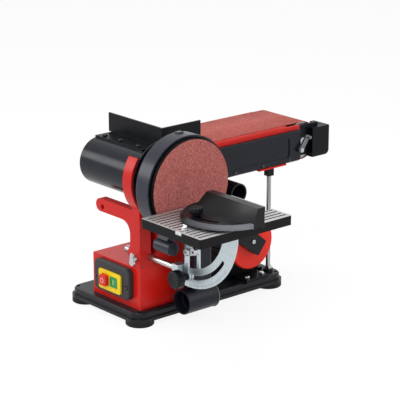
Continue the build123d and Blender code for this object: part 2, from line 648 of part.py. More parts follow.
def make_chute():
    """Dust chute from the guard down to a round hose socket that faces -X, in front of the base."""
    bore = HOSE_RADIUS - CHUTE_WALL
    duct = slab_z(rounded(CHUTE_X, CHUTE_Y, 6.0), (HOSE_Z, CHUTE_TOP))
    duct += rod_x(HOSE_Y, HOSE_Z, HOSE_RADIUS, HOSE_X)
    inside = rounded(grown(CHUTE_X, -CHUTE_WALL), grown(CHUTE_Y, -CHUTE_WALL), 5.0)
    duct -= slab_z(inside, (HOSE_Z, CHUTE_TOP))
    duct -= rod_x(HOSE_Y, HOSE_Z, bore - HOSE_STOP, (HOSE_X[0], HOSE_X[1] - CHUTE_WALL))
    duct -= rod_x(HOSE_Y, HOSE_Z, bore, (HOSE_X[0], HOSE_X[0] + HOSE_SOCKET))
    return duct - rod_y(*AXIS, GUARD_RADIUS + 0.2, grown(CHUTE_Y, 10))


def make_arm():
    """Belt arm: red frame with platen, near cover, hood, fence, dust port, far bearing and belt."""
    boss_y = (BOSS_FRONT_Y, NEAR_PLATE_Y[1])
    side = rectangle((AXIS_X, PLATE_END_X), PLATE_Z)
    lug = rectangle(HANGER_X, (LUG_LOW, PLATE_Z[0] + 2))
    near = slab_y(side + lug + Pos(*AXIS) * Circle(BOSS_RADIUS), NEAR_PLATE_Y)
    near += slab_y(Pos(*AXIS) * Circle(BOSS_RADIUS), boss_y)
    near -= rod_y(*AXIS, HUB_RADIUS, boss_y)
    far = slab_y(side + Pos(*AXIS) * Circle(FAR_BOSS_RADIUS), FAR_PLATE_Y)
    far += rod_y(*AXIS, FAR_BEARING_RADIUS + 4, FAR_BEARING_Y)
    far -= rod_y(*AXIS, FAR_BEARING_RADIUS, FAR_BEARING_Y)
    inner_top = AXIS_Z + DRUM_RADIUS
    between = (NEAR_PLATE_Y[1], FAR_PLATE_Y[0])
    platen = block(PLATEN_X, between, (inner_top - PLATEN_THICK, inner_top))
    for x in CROSS_RIB_X:
        platen += block((x, x + 10), between, (AXIS_Z - 12, AXIS_Z + 12))
    nodes["arm_frame"] = near + far + platen
    bearing = rod_y(*AXIS, FAR_BEARING_RADIUS, FAR_BEARING_Y)
    nodes["far_bearing"] = bearing - rod_y(*AXIS, SHAFT_RADIUS + RUNNING_FIT, FAR_BEARING_Y)
    cover = slab_y(rounded(COVER_X, COVER_Z, 4.0), COVER_Y)
    cover = chamfer(cover.faces().sort_by(Axis.Y)[0].edges(), 1.5)
    panel = rounded(grown(COVER_X, -COVER_PANEL[0]), grown(COVER_Z, -COVER_PANEL[1]), 6.0)
    cover -= slab_y(panel, (COVER_Y[0], COVER_Y[0] + 2.0))
    spots = [(x, COVER_Z[0] + 5) for x in COVER_SCREW_X]
    for x, z in spots:
        cover -= rod_y(x, z, 1.5, (COVER_Y[0], COVER_Y[0] + 2))
    cover -= rod_y(*LEVER_PIVOT, LEVER_PIN_RADIUS, COVER_Y)
    nodes["arm_side_cover"] = cover
    nodes["cover_screws"] = Compound(children=cap_screws_y(spots, COVER_Y[0], 3.5, 1.5, 1.5, 2.0))
    outer = hull((*AXIS, BELT_OUTER), (IDLER_X, AXIS_Z, BELT_OUTER))
    inner = hull((*AXIS, DRUM_RADIUS + BELT_GAP), (IDLER_X, AXIS_Z, DRUM_RADIUS + BELT_GAP))
    nodes["sanding_belt"] = slab_y(outer - inner, BELT_Y)
    rest_low = POST_TOP + 0.3
    rest = block(REST_X, REST_Y, (rest_low, PLATE_Z[0]))
    nodes["rest_bracket"] = rest + block(REST_X, (REST_Y[0], COVER_Y[1]), (rest_low, COVER_Z[0]))
    make_hood_and_fence()
    make_belt_port()


def make_hood_and_fence():
    """Hood round the drum end and the L-shaped work fence that is bolted on top of it."""
    centre = (HOOD_X, AXIS_Z)
    low, top = AXIS_Z - HOOD_RADIUS, AXIS_Z + HOOD_RADIUS
    wrap = ring(centre, HOOD_RADIUS, HOOD_RADIUS - HOOD_WALL)
    wrap -= rectangle((HOOD_X + 6, HOOD_X + 60), grown((low, top), 10))
    wrap += rectangle((HOOD_X - 6, HOOD_X + 8), (top - HOOD_WALL, top))
    wrap += rectangle((HOOD_X - 4, HOOD_X + 6), (low, low + HOOD_WALL))
    hood = slab_y(wrap, HOOD_Y)
    end_face = Pos(*centre) * Circle(HOOD_RADIUS) + rectangle((HOOD_X, HOOD_END_X), (low, top))
    hood += slab_y(end_face, (HOOD_Y[1] - HOOD_WALL, HOOD_Y[1]))
    rim = end_face - Pos(*centre) * Circle(HOOD_RADIUS - HOOD_WALL)
    rim -= rectangle((HOOD_X, HOOD_END_X - HOOD_WALL), (low + HOOD_WALL, top - HOOD_WALL))
    hood += slab_y(rim, (FAR_PLATE_Y[1], HOOD_Y[1]))
    nodes["drum_hood"] = hood
    foot_top = top + FENCE_THICK
    long_leg = block((FENCE_X - FENCE_THICK, FENCE_X), (FENCE_NEAR_Y, FENCE_FAR_Y), (foot_top, FENCE_Z[1]))
    near_y = (FENCE_NEAR_Y, FENCE_NEAR_Y + FENCE_THICK)
    short_leg = block((FENCE_X - FENCE_THICK, FENCE_RIGHT_X), near_y, FENCE_Z)
    relief = block((FENCE_X - 4, FENCE_X + 6), (FENCE_NEAR_Y - 1, FENCE_NEAR_Y + 9), (low, foot_top + 6))
    foot = block((HOOD_X - 6, FENCE_X), (FENCE_NEAR_Y + 9, HOOD_Y[1]), (top, foot_top))
    fence = long_leg + short_leg - relief + foot
    bolts = []
    for y in FENCE_BOLT_Y:
        stud = rod_z(HOOD_X + 2, y, 2.0, (top, foot_top))
        fence -= stud
        bolts.append(stud + slab_z(Pos(HOOD_X + 2, y) * RegularPolygon(4.2, 6), (foot_top, foot_top + 3)))
    nodes["work_fence"] = fence
    nodes["fence_bolts"] = Compound(children=bolts)


def make_belt_port():
    """Dust scoop that hangs from the arm under the belt's lower run, with a round port that faces -Y."""
    low = PORT_Z - PORT_RADIUS
    collector_top = AXIS_Z - BELT_OUTER - 2
    collector_x = (SCOOP_X[0], COLLECTOR_RIGHT)
    scoop = block(SCOOP_X, SCOOP_Y, (low, SCOOP_TOP))
    scoop += block(collector_x, SCOOP_Y, (low, collector_top))
    scoop += block(HANGER_X, (HANGER_FRONT_Y, NEAR_PLATE_Y[0]), (HANGER_LOW, PLATE_Z[0]))
    scoop += block(HANGER_X, (HANGER_FRONT_Y, SCOOP_Y[0]), (HANGER_LOW, SCOOP_TOP))
    scoop += rod_y(PORT_X, PORT_Z, PORT_RADIUS, PORT_Y)
    inside_y = grown(SCOOP_Y, -PORT_WALL)
    scoop -= block(grown(SCOOP_X, -PORT_WALL), inside_y, (low + PORT_WALL, SCOOP_TOP - PORT_WALL))
    scoop -= block(grown(collector_x, -PORT_WALL), inside_y, (low + PORT_WALL, collector_top))
    bore_y = (PORT_Y[0], PORT_Y[1] - PORT_WALL)
    nodes["belt_dust_port"] = scoop - rod_y(PORT_X, PORT_Z, PORT_RADIUS - PORT_WALL, bore_y)


def make_idler():
    """Idler yoke that slides in the arm, with its axle, roller, tracking knob and tension lever."""
    across = (YOKE_NEAR_Y[0], YOKE_FAR_Y[1])
    slide_z = (AXIS_Z - YOKE_HALF, AXIS_Z + YOKE_HALF)
    yoke = block(YOKE_X, YOKE_NEAR_Y, slide_z) + block((YOKE_X[0], YOKE_X[1] - 16), YOKE_FAR_Y, slide_z)
    yoke += block(CHEEK_X, YOKE_NEAR_Y, CHEEK_Z)
    yoke += block((YOKE_X[0], YOKE_X[0] + 12), across, (AXIS_Z - YOKE_HALF / 2, AXIS_Z + YOKE_HALF / 2))
    end = block(BLOCK_X, (BLOCK_FRONT_Y, YOKE_NEAR_Y[1]), (COVER_Z[0], COVER_Z[1] - 2))
    lower = end.edges().filter_by(Axis.Y).group_by(Axis.X)[-1].sort_by(Axis.Z)[0]
    end = fillet(lower, 8.0)
    wrap_x = (BELT_END_X + TENSION_TRAVEL + 1, BLOCK_X[1])
    end += block(wrap_x, (YOKE_NEAR_Y[1], BLOCK_BACK_Y), (COVER_Z[0] + 6, COVER_Z[1] - 2))
    yoke += end
    yoke -= rod_y(IDLER_X, AXIS_Z, IDLER_AXLE_RADIUS, across)
    yoke -= rod_x(TRACKING_Y, AXIS_Z, SCREW_RADIUS + RUNNING_FIT, (BLOCK_X[1] - 12, BLOCK_X[1]))
    nodes["idler_yoke"] = yoke
    nodes["idler_axle"] = rod_y(IDLER_X, AXIS_Z, IDLER_AXLE_RADIUS, across)
    nodes["idler_roller"] = roller(IDLER_X, AXIS_Z, IDLER_AXLE_RADIUS + RUNNING_FIT)
    knob_x = (BLOCK_X[1] + 0.5, BLOCK_X[1] + 14)
    knob = rod_x(TRACKING_Y, AXIS_Z, TRACKING_RADIUS, knob_x)
    for index in range(8):
        y, z = polar((TRACKING_Y, AXIS_Z), TRACKING_RADIUS + 1.2, index * 45)
        knob -= rod_x(y, z, 2.4, knob_x)
    nodes["tracking_knob"] = knob + rod_x(TRACKING_Y, AXIS_Z, SCREW_RADIUS, (BLOCK_X[1] - 9, knob_x[0] + 1))
    lever = slab_y(hull((*LEVER_PIVOT, 4.5), (*LEVER_TIP, 3.0)), LEVER_Y)
    lever += rod_y(*LEVER_TIP, 2.6, (LEVER_Y[0] - 5.5, LEVER_Y[0] + 1))
    nodes["tension_lever"] = lever - rod_y(*LEVER_PIVOT, LEVER_PIN_RADIUS + RUNNING_FIT, LEVER_Y)
    head_y = (LEVER_Y[0] - 2, LEVER_Y[0] - 0.3)
    pin = rod_y(*LEVER_PIVOT, LEVER_PIN_RADIUS, (head_y[0], NEAR_PLATE_Y[0]))
    nodes["lever_pin"] = pin + rod_y(*LEVER_PIVOT, LEVER_PIN_RADIUS + 1.2, head_y)


def make_post():
    """Steel stay post on the base with the cap that the arm rests on."""
    socket_top = POST_TOP - 6
    nodes["stay_post"] = rod_z(POST_X, POST_Y, POST_RADIUS, (BASE_TOP - 2, socket_top))
    cap = block(grown((POST_X, POST_X), 6), grown((POST_Y, POST_Y), 5.5), (socket_top - 6, POST_TOP))
    nodes["post_cap"] = cap - rod_z(POST_X, POST_Y, POST_RADIUS, (socket_top - 6, socket_top))


def make_table():
    """Tilting work table with quadrant, pivot bracket, support bar, screws and knobs."""
    low = TABLE_TOP - TABLE_DEPTH
    skin = TABLE_TOP - TABLE_SKIN
    table = slab_z(rounded(TABLE_X, TABLE_Y, 2.5), (low, TABLE_TOP))
    table -= block(grown(TABLE_X, -TABLE_RIM), grown(TABLE_Y, -TABLE_RIM), (low, skin))
    slot_y = grown((MITRE_Y, MITRE_Y), MITRE_SLOT_WIDTH / 2)
    slot_low = TABLE_TOP - MITRE_SLOT_DEPTH
    table += block(TABLE_X, grown(slot_y, 4), (slot_low - 4, TABLE_TOP))
    lug_x = (QUADRANT_X[1], QUADRANT_X[1] + QUADRANT_LUG)
    table += block(lug_x, (TILT_Y - 60, TILT_Y - 28), (low - 9, skin))
    for x in (LEFT_LUG_X, lug_x):
        table += block(x, grown((TILT_Y, TILT_Y), LUG_HALF), (TILT_Z - 5, skin))
    groove_y = TABLE_Y[0] + GROOVE_PITCH
    while groove_y < TABLE_Y[1] - GROOVE_WIDTH:
        if not slot_y[0] - GROOVE_WIDTH < groove_y < slot_y[1] + GROOVE_WIDTH:
            groove = grown((groove_y, groove_y), GROOVE_WIDTH / 2)
            table -= block(grown(TABLE_X, -TABLE_RIM), groove, (TABLE_TOP - GROOVE_DEPTH, TABLE_TOP))
        groove_y += GROOVE_PITCH
    table -= block(TABLE_X, slot_y, (slot_low, TABLE_TOP))
    table -= rod_x(TILT_Y, TILT_Z, PIN_RADIUS, PIN_X)
    nodes["work_table"] = table
    quadrant = make_quadrant(low)
    bolts = []
    for y in (TILT_Y - 34, TILT_Y - 52):
        stud = rod_x(y, low - 4, 2.0, QUADRANT_X)
        head = slab_x(Pos(y, low - 4) * RegularPolygon(4.0, 6), (QUADRANT_X[0] - 3.5, QUADRANT_X[0]))
        bolts.append(stud + head)
        quadrant -= stud
    nodes["quadrant"] = quadrant
    nodes["quadrant_bolts"] = Compound(children=bolts)
    nodes["tilt_pin"] = rod_x(TILT_Y, TILT_Z, PIN_RADIUS, PIN_X)
    make_table_support()


def make_quadrant(low):
    """Zinc quadrant plate with its arc slot, an upright arm and a straight bolting edge under the table."""
    centre = (TILT_Y, TILT_Z)
    inner, outer = QUADRANT_RADII
    plate = ring(centre, outer, inner) & sector(centre, outer + 4, -172, -84)
    plate += rectangle((TILT_Y - outer + 1, TILT_Y - inner), (TILT_Z - 18, low + 4))
    plate += rectangle((TILT_Y - inner - 1, QUADRANT_ARM_Y[1]), (low - 9, low + 4))
    plate += rectangle(QUADRANT_ARM_Y, (TILT_Z - inner - 2, low + 4))
    return slab_x(plate - arc_slot(centre, SLOT_RADIUS, SLOT_HALF, *SLOT_ANGLES), QUADRANT_X)


def make_table_support():
    """Bar, clamp bracket, tilt lock knob and the wing screw that holds the bar in the column."""
    clamp_y = (BAR_Y[0] - 2.5, BAR_Y[0] - 2.5 + CLAMP_LENGTH)
    nodes["support_bar"] = rod_y(BAR_X, BAR_Z, BAR_RADIUS, BAR_Y)
    strip = rectangle(grown((TILT_Y, TILT_Y), BRACKET_HALF), (STUD_Z, TILT_Z))
    strip += Pos(TILT_Y, TILT_Z) * Circle(6.0) + Pos(TILT_Y, STUD_Z) * Circle(8.0)
    strip += hull(*[(y, z, 7.0) for y, z in BRACKET_BOLTS])
    bracket = slab_x(strip, BRACKET_X)
    bracket += block((BAR_X - CLAMP_HALF, BRACKET_X[1]), clamp_y, grown((BAR_Z, BAR_Z), CLAMP_HALF))
    bracket -= rod_y(BAR_X, BAR_Z, BAR_RADIUS, (BAR_Y[0], clamp_y[1]))
    bracket -= rod_x(TILT_Y, TILT_Z, PIN_RADIUS + RUNNING_FIT, BRACKET_X)
    bracket -= rod_x(TILT_Y, STUD_Z, SCREW_RADIUS + RUNNING_FIT, (BAR_X - CLAMP_HALF, BRACKET_X[1]))
    bolts = []
    for y, z in BRACKET_BOLTS:
        stud = rod_x(y, z, 2.5, BRACKET_X)
        bracket -= stud
        dome = rod_x(y, z, 6.5, (BRACKET_X[0] - 4.5, BRACKET_X[0]))
        dome = fillet(dome.faces().sort_by(Axis.X)[0].edges(), 2.5)
        bolts.append(dome + stud)
    nodes["table_bracket"] = bracket
    nodes["bracket_bolts"] = Compound(children=bolts)
    knob = fillet(rod_x(TILT_Y, STUD_Z, TILT_KNOB_RADIUS, TILT_KNOB_X).edges(), 2.0)
    for index in range(TILT_KNOB_FLUTES):
        y, z = polar((TILT_Y, STUD_Z), TILT_KNOB_RADIUS + 2.2, index * 360 / TILT_KNOB_FLUTES)
        knob -= rod_x(y, z, 3.0, TILT_KNOB_X)
    knob += rod_x(TILT_Y, STUD_Z, 5.5, (TILT_KNOB_X[1] - 0.5, BRACKET_X[0] - 0.3))
    knob += rod_x(TILT_Y, STUD_Z, SCREW_RADIUS, (TILT_KNOB_X[1], QUADRANT_X[1] + 6))
    knob += rod_x(TILT_Y, STUD_Z, 6.0, (QUADRANT_X[1] + 0.4, QUADRANT_X[1] + 4))
    nodes["tilt_lock_knob"] = knob
    left = PEDESTAL_X[0]
    wing = rod_x(WING_Y, BAR_Z, SCREW_RADIUS, (left - 6, BAR_X - BAR_RADIUS - 0.2))
    wing += rod_x(WING_Y, BAR_Z, SCREW_RADIUS + 2, (left - 7, left - 0.5))
    blade = hull((WING_Y, BAR_Z + 7.5, 3.2), (WING_Y, BAR_Z - 5.5, 5.2))
    nodes["wing_screw"] = wing + slab_x(blade, (left - 10, left - 6.5))


def make_mitre():
    """Mitre gauge: bar in the table slot, swivelling head with a wedge-shaped fence, and its lock knob."""
    centre = (MITRE_X, MITRE_Y)
    bar_y = grown((MITRE_Y, MITRE_Y), MITRE_SLOT_WIDTH / 2 - 0.3)
    bar_z = (TABLE_TOP - MITRE_SLOT_DEPTH + 0.2, TABLE_TOP - 0.3)
    stud = (MITRE_X + MITRE_STUD[0], MITRE_Y + MITRE_STUD[1])
    ear_z = (TABLE_TOP + 0.3, TABLE_TOP + 2.8)
    bar = block((TABLE_X[0] + 1, MITRE_X + 28), bar_y, bar_z)
    bar += block((stud[0] - 6, stud[0] + 6), bar_y, (bar_z[1], ear_z[1]))
    bar += slab_z(hull((stud[0], MITRE_Y, 6.0), (*stud, 6.0)), ear_z)
    bar += rod_z(*centre, MITRE_PIVOT_RADIUS, (bar_z[1], MITRE_PLATE_Z[1]))
    bar += rod_z(POINTER_X, MITRE_Y, 3.5, (bar_z[1], TABLE_TOP + 5))
    bar -= rod_z(*stud, SCREW_RADIUS + RUNNING_FIT, ear_z)
    nodes["mitre_bar"] = bar
    reach = math.hypot(*MITRE_STUD)
    bearing = math.degrees(math.atan2(MITRE_STUD[1], MITRE_STUD[0]))
    right_half = rectangle((MITRE_X, MITRE_X + 80), grown(MITRE_WALL_Y, 40))
    slot = arc_slot(centre, reach, MITRE_SLOT_HALF, bearing - MITRE_SWIVEL[1], bearing - MITRE_SWIVEL[0])
    dish = rod_z(*centre, MITRE_RADIUS, (MITRE_PLATE_Z[0], MITRE_RIM_TOP))
    dish = chamfer(dish.faces().sort_by(Axis.Z)[-1].edges(), MITRE_BEVEL)
    dish -= rod_z(*centre, MITRE_RADIUS - MITRE_RIM, (MITRE_PLATE_Z[1], MITRE_RIM_TOP))
    head = dish - slab_z(right_half, (MITRE_PLATE_Z[0], MITRE_RIM_TOP)) - slab_z(slot, MITRE_PLATE_Z)
    head += block((MITRE_X + 4.5, MITRE_WALL_X[1]), MITRE_WALL_Y, (TABLE_TOP + 0.6, MITRE_TOP))
    sections = []
    for y, foot in zip(MITRE_WALL_Y, MITRE_FOOT):
        wedge = polygon(
            (MITRE_WALL_X[1], MITRE_PLATE_Z[0]), (MITRE_WALL_X[1], MITRE_TOP), (MITRE_WALL_X[0], MITRE_TOP),
            (MITRE_X - foot, MITRE_PLATE_Z[1]), (MITRE_X - foot, MITRE_PLATE_Z[0])
        )
        sections.append(Plane.XZ.offset(-y) * wedge)
    head += loft(sections, ruled=True)
    head -= rod_z(*centre, MITRE_PIVOT_RADIUS + RUNNING_FIT, (TABLE_TOP, MITRE_PLATE_Z[1] + 1))
    nodes["mitre_head"] = head
    knob_z = (MITRE_RIM_TOP + 0.6, MITRE_RIM_TOP + 12)
    knob = fillet(rod_z(*stud, MITRE_KNOB_RADIUS, knob_z).edges(), 1.5)
    knob += rod_z(*stud, 5.5, (MITRE_PLATE_Z[1] + 0.4, knob_z[0] + 1))
    nodes["mitre_knob"] = knob + rod_z(*stud, SCREW_RADIUS, (ear_z[0], MITRE_PLATE_Z[1] + 2))


make_base()
make_pedestal()
make_casting()
make_switch()
make_motor()
make_drive()
make_disc()
make_arm()
make_idler()
make_post()
make_table()
make_mitre()

os.makedirs("parts", exist_ok=True)
for name, shape in nodes.items():
    export_step(shape, f"parts/{name}.step")
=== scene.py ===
"""Looks of a bench belt and disc sander: finishes, detail pieces, light and camera round the CAD frame."""
import logging
import math
from dataclasses import dataclass
from enum import Enum

import bmesh
import bpy
from mathutils import Matrix, Vector


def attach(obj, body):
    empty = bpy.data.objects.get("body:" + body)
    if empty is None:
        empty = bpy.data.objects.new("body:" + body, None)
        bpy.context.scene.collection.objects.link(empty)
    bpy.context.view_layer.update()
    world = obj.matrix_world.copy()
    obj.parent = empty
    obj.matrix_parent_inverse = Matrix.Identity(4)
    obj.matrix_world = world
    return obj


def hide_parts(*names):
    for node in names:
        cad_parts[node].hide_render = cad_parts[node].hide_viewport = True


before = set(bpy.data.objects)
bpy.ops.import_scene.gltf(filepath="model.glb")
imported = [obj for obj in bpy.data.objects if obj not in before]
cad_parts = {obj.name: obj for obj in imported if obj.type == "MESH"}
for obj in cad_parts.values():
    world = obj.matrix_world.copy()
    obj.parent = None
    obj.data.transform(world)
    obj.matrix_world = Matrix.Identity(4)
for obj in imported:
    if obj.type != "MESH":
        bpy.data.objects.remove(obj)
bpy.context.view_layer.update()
LOG = logging.getLogger("sander")
MM = 0.001
Place = tuple[float, float, float]
Outline = tuple[tuple[float, float], ...]
Tree = bpy.types.NodeTree
Node = bpy.types.Node
Socket = bpy.types.NodeSocket
LEFT: Place = (-1.0, 0.0, 0.0)
RIGHT: Place = (1.0, 0.0, 0.0)
NEAR: Place = (0.0, -1.0, 0.0)
FAR: Place = (0.0, 1.0, 0.0)
UP: Place = (0.0, 0.0, 1.0)
# A knob is lobed where its radius is more than this share of its widest.
GRIP_SHARE = 0.75
# Faces that meet at more than this angle keep a sharp edge.
SHARP_ANGLE = math.radians(35)
# The belt's path splits between its two rollers just past the middle of the starting circle, in metres.
BELT_SPLIT = 1e-6


def srgb(code: str) -> tuple[float, float, float, float]:
    """Turns an sRGB hex colour to linear.

    Args:
        code: colour such as "#C8141B".

    Returns:
        Linear red, green, blue and an alpha of 1.
    """
    parts = [int(code[i:i + 2], 16) / 255 for i in (1, 3, 5)]
    linear = [p / 12.92 if p <= 0.04045 else ((p + 0.055) / 1.055) ** 2.4 for p in parts]
    return linear[0], linear[1], linear[2], 1.0


def metres(place: Place) -> Place:
    """Returns a place in metres that is given in millimetres."""
    return place[0] * MM, place[1] * MM, place[2] * MM


def add(tree: Tree, kind: str, links: dict | None = None, values: dict | None = None,
        **settings: object) -> Node:
    """Adds one node with its settings, socket values and links.

    Args:
        tree: node tree that gets the node.
        kind: the node's type name.
        links: input socket name or index to the output socket that feeds it.
        values: input socket name or index to its constant.
        settings: attributes of the node itself.

    Returns:
        The new node.
    """
    node = tree.nodes.new(kind)
    for name, value in settings.items():
        setattr(node, name, value)
    for key, value in (values or {}).items():
        node.inputs[key].default_value = value
    for key, source in (links or {}).items():
        tree.links.new(source, node.inputs[key])
    return node


class Grain(Enum):
    """Direction of the tool marks on a bare metal, as the stretch of its pattern along X, Y and Z."""

    ALONG_X = (0.03, 1.0, 1.0)
    ALONG_Y = (1.0, 0.03, 1.0)
    ALONG_Z = (1.0, 1.0, 0.03)
    EVEN = (1.0, 1.0, 1.0)


@dataclass(frozen=True)
class Finish:
    """What every finish has: name, colour and roughness, its paler edges (part rubbed wear, part painted
    highlight), fine relief and uneven sheen.
    """

    name: str
    colour: str
    roughness: float
    edge: str = "#F4F4F4"
    edge_mm: float = 0.8
    edge_gain: float = 0.35
    relief: float = 0.25
    depth_mm: float = 0.1
    uneven: tuple[float, float] = (-0.06, 0.08)

    def material(self) -> bpy.types.Material:
        """Returns the finish as a material, made once."""
        made = bpy.data.materials.get(self.name)
        if made is None:
            made = bpy.data.materials.new(self.name)
            made.use_nodes = True
            tree = made.node_tree
            tree.nodes.clear()
            shader = add(tree, "ShaderNodeBsdfPrincipled", values=self.constants())
            add(tree, "ShaderNodeOutputMaterial", {"Surface": shader.outputs["BSDF"]})
            place = add(tree, "ShaderNodeTexCoord").outputs["Object"]
            self.surface(tree, shader, place)
        return made

    def constants(self) -> dict[str, float]:
        """Returns the shader values that are the same all over the surface."""
        raise NotImplementedError

    def surface(self, tree: Tree, shader: Node, place: Socket) -> None:
        """Adds the pattern nodes and links them to the shader.

        Args:
            tree: the material's tree.
            shader: its surface shader.
            place: object coordinates in metres.
        """
        raise NotImplementedError

    def soft_edges(self, tree: Tree) -> tuple[Socket, Socket]:
        """Rounds the edges in the shading and finds them.

        Args:
            tree: the material's tree.

        Returns:
            The rounded normal, and a mask that is 1 on an edge and 0 on a flat.
        """
        bevel = add(tree, "ShaderNodeBevel", values={"Radius": self.edge_mm * MM}, samples=4).outputs[0]
        flat = add(tree, "ShaderNodeNewGeometry").outputs["Normal"]
        dot = add(tree, "ShaderNodeVectorMath", {0: bevel, 1: flat}, operation="DOT_PRODUCT").outputs["Value"]
        limits = {"From Min": 0.98, "From Max": 0.75, "To Min": 0.0, "To Max": self.edge_gain}
        mask = add(tree, "ShaderNodeMapRange", {"Value": dot}, limits).outputs["Result"]
        return bevel, mask

    def cover(self, tree: Tree, shader: Node, tone: Socket, height: Socket, sheen: Socket,
              bevel: Socket | None = None) -> None:
        """Links colour, relief and uneven roughness to the shader.

        Args:
            tree: the material's tree.
            shader: its surface shader.
            tone: the colour.
            height: the pattern that stands up from the surface.
            sheen: the pattern, from 0 to 1, that the roughness follows.
            bevel: the rounded normal, where the edges are soft.
        """
        normal = {"Normal": bevel} if bevel is not None else {}
        bump = add(tree, "ShaderNodeBump", {"Height": height, **normal},
                   {"Strength": self.relief, "Distance": self.depth_mm * MM})
        low, high = self.uneven
        rough = add(tree, "ShaderNodeMapRange", {"Value": sheen},
                    {"To Min": self.roughness + low, "To Max": self.roughness + high})
        tree.links.new(tone, shader.inputs["Base Color"])
        tree.links.new(rough.outputs["Result"], shader.inputs["Roughness"])
        tree.links.new(bump.outputs["Normal"], shader.inputs["Normal"])

    def wear_and_highlight_edges(self, tree: Tree, shader: Node, tone: Socket, height: Socket, sheen: Socket) -> None:
        """Paints the edges towards their own colour, as rubbed wear and as painted highlight, and covers the
        rest.

        Args:
            tree: the material's tree.
            shader: its surface shader.
            tone: the colour of the faces.
            height: the pattern that stands up from the surface.
            sheen: the pattern, from 0 to 1, that the roughness follows.
        """
        bevel, rim = self.soft_edges(tree)
        # Painted highlight and wear: the edge mask mixes the faces towards the paler edge colour.
        worn = add(tree, "ShaderNodeMix", {0: rim, 6: tone}, {7: srgb(self.edge)}, data_type="RGBA")
        self.cover(tree, shader, worn.outputs[2], height, sheen, bevel)


@dataclass(frozen=True)
class Enamel(Finish):
    """Sprayed enamel on metal: gloss with a faint orange peel, thinner on the edges, whose paler colour is
    part wear and part painted highlight.

    The real peel is about 2 mm; it is drawn at peel_mm so that it shows in the picture.
    """

    edge: str = "#EC6A5C"
    shade: str = "#B8140F"
    peel_mm: float = 5.0
    cloud_mm: float = 60.0
    coat: float = 0.05
    coat_roughness: float = 0.12
    gloss: float = 0.2
    ior: float = 1.5

    def constants(self) -> dict[str, float]:
        """Returns the values of the lacquer."""
        return {"Coat Weight": self.coat, "Coat Roughness": self.coat_roughness, "IOR": self.ior,
                "Specular IOR Level": self.gloss}

    def surface(self, tree: Tree, shader: Node, place: Socket) -> None:
        """Adds orange peel, slow colour drift and pale edges, part wear and part painted highlight.

        Args:
            tree: the material's tree.
            shader: its surface shader.
            place: object coordinates in metres.
        """
        sizes = (self.cloud_mm, self.peel_mm)
        cloud, peel = (add(tree, "ShaderNodeTexNoise", {"Vector": place},
                           {"Scale": 1 / (size * MM)}).outputs["Fac"] for size in sizes)
        tone = add(tree, "ShaderNodeMix", {0: cloud}, {6: srgb(self.colour), 7: srgb(self.shade)},
                   data_type="RGBA")
        self.wear_and_highlight_edges(tree, shader, tone.outputs[2], peel, cloud)


@dataclass(frozen=True)
class RimmedEnamel(Enamel):
    """Enamel on a half-round casting whose bevelled rim is painted paler as a highlight, most of all towards
    its near end.

    The band's limits are measured from centre_mm, a point on the casting's pivot.
    """

    rim_highlight: str = "#7C7E84"
    centre_mm: Place = (-100.5, -233.5, 0.0)
    rim_mm: tuple[float, float] = (65.2, 65.7)
    wall_mm: float = -11.5
    top_mm: float = 216.4
    fade_mm: tuple[float, float] = (25.0, -68.0)

    def surface(self, tree: Tree, shader: Node, place: Socket) -> None:
        """Adds the painted highlight band over the enamel.

        Args:
            tree: the material's tree.
            shader: its surface shader.
            place: object coordinates in metres.
        """
        super().surface(tree, shader, place)
        paint = shader.inputs["Base Color"].links[0].from_socket
        offset = add(tree, "ShaderNodeVectorMath", {0: place}, {1: metres(self.centre_mm)},
                     operation="SUBTRACT").outputs["Vector"]
        level = add(tree, "ShaderNodeVectorMath", {0: offset}, {1: (1, 1, 0)}, operation="MULTIPLY")
        reach = add(tree, "ShaderNodeVectorMath", {0: level.outputs["Vector"]}, operation="LENGTH")
        side = add(tree, "ShaderNodeSeparateXYZ", {"Vector": offset}).outputs
        outer, near = (add(tree, "ShaderNodeMapRange", {"Value": value},
                           {"From Min": start * MM, "From Max": end * MM}).outputs["Result"]
                       for value, (start, end) in ((reach.outputs["Value"], self.rim_mm),
                                                   (side["Y"], self.fade_mm)))
        clear, below = (add(tree, "ShaderNodeMath", {0: value}, {1: limit * MM},
                            operation="LESS_THAN").outputs[0]
                        for value, limit in ((side["X"], self.wall_mm), (side["Z"], self.top_mm)))
        band = outer
        for part in (clear, below, near):
            band = add(tree, "ShaderNodeMath", {0: band, 1: part}, operation="MULTIPLY").outputs[0]
        # Painted highlight: the bevelled rim is mixed towards the pale rim colour, strongest at the near end.
        tone = add(tree, "ShaderNodeMix", {0: band, 6: paint}, {7: srgb(self.rim_highlight)}, data_type="RGBA")
        tree.links.new(tone.outputs[2], shader.inputs["Base Color"])


@dataclass(frozen=True)
class Moulded(Finish):
    """Injection-moulded plastic: a fine spark-eroded grain that breaks up its sheen.

    The real grain is about 0.1 mm; it is drawn at grain_mm so that it shows in the picture.
    """

    edge: str = "#4A4B52"
    relief: float = 0.5
    depth_mm: float = 0.06
    uneven: tuple[float, float] = (-0.08, 0.1)
    grain_mm: float = 1.2
    cloud_mm: float = 35.0
    drift: float = 1.35
    gloss: float = 0.2
    ior: float = 1.53

    def constants(self) -> dict[str, float]:
        """Returns the values of the plastic."""
        return {"IOR": self.ior, "Specular IOR Level": self.gloss}

    def surface(self, tree: Tree, shader: Node, place: Socket) -> None:
        """Adds the mould's grain, uneven sheen and paler edges, part rubbed wear and part painted highlight.

        Args:
            tree: the material's tree.
            shader: its surface shader.
            place: object coordinates in metres.
        """
        grain = add(tree, "ShaderNodeTexNoise", {"Vector": place},
                    {"Scale": 1 / (self.grain_mm * MM), "Detail": 3.0}).outputs["Fac"]
        cloud = add(tree, "ShaderNodeTexNoise", {"Vector": place},
                    {"Scale": 1 / (self.cloud_mm * MM)}).outputs["Fac"]
        body = srgb(self.colour)
        paler = tuple(min(1.0, c * self.drift) for c in body[:3]) + (1.0,)
        tone = add(tree, "ShaderNodeMix", {0: cloud}, {6: body, 7: paler}, data_type="RGBA")
        self.wear_and_highlight_edges(tree, shader, tone.outputs[2], grain, cloud)


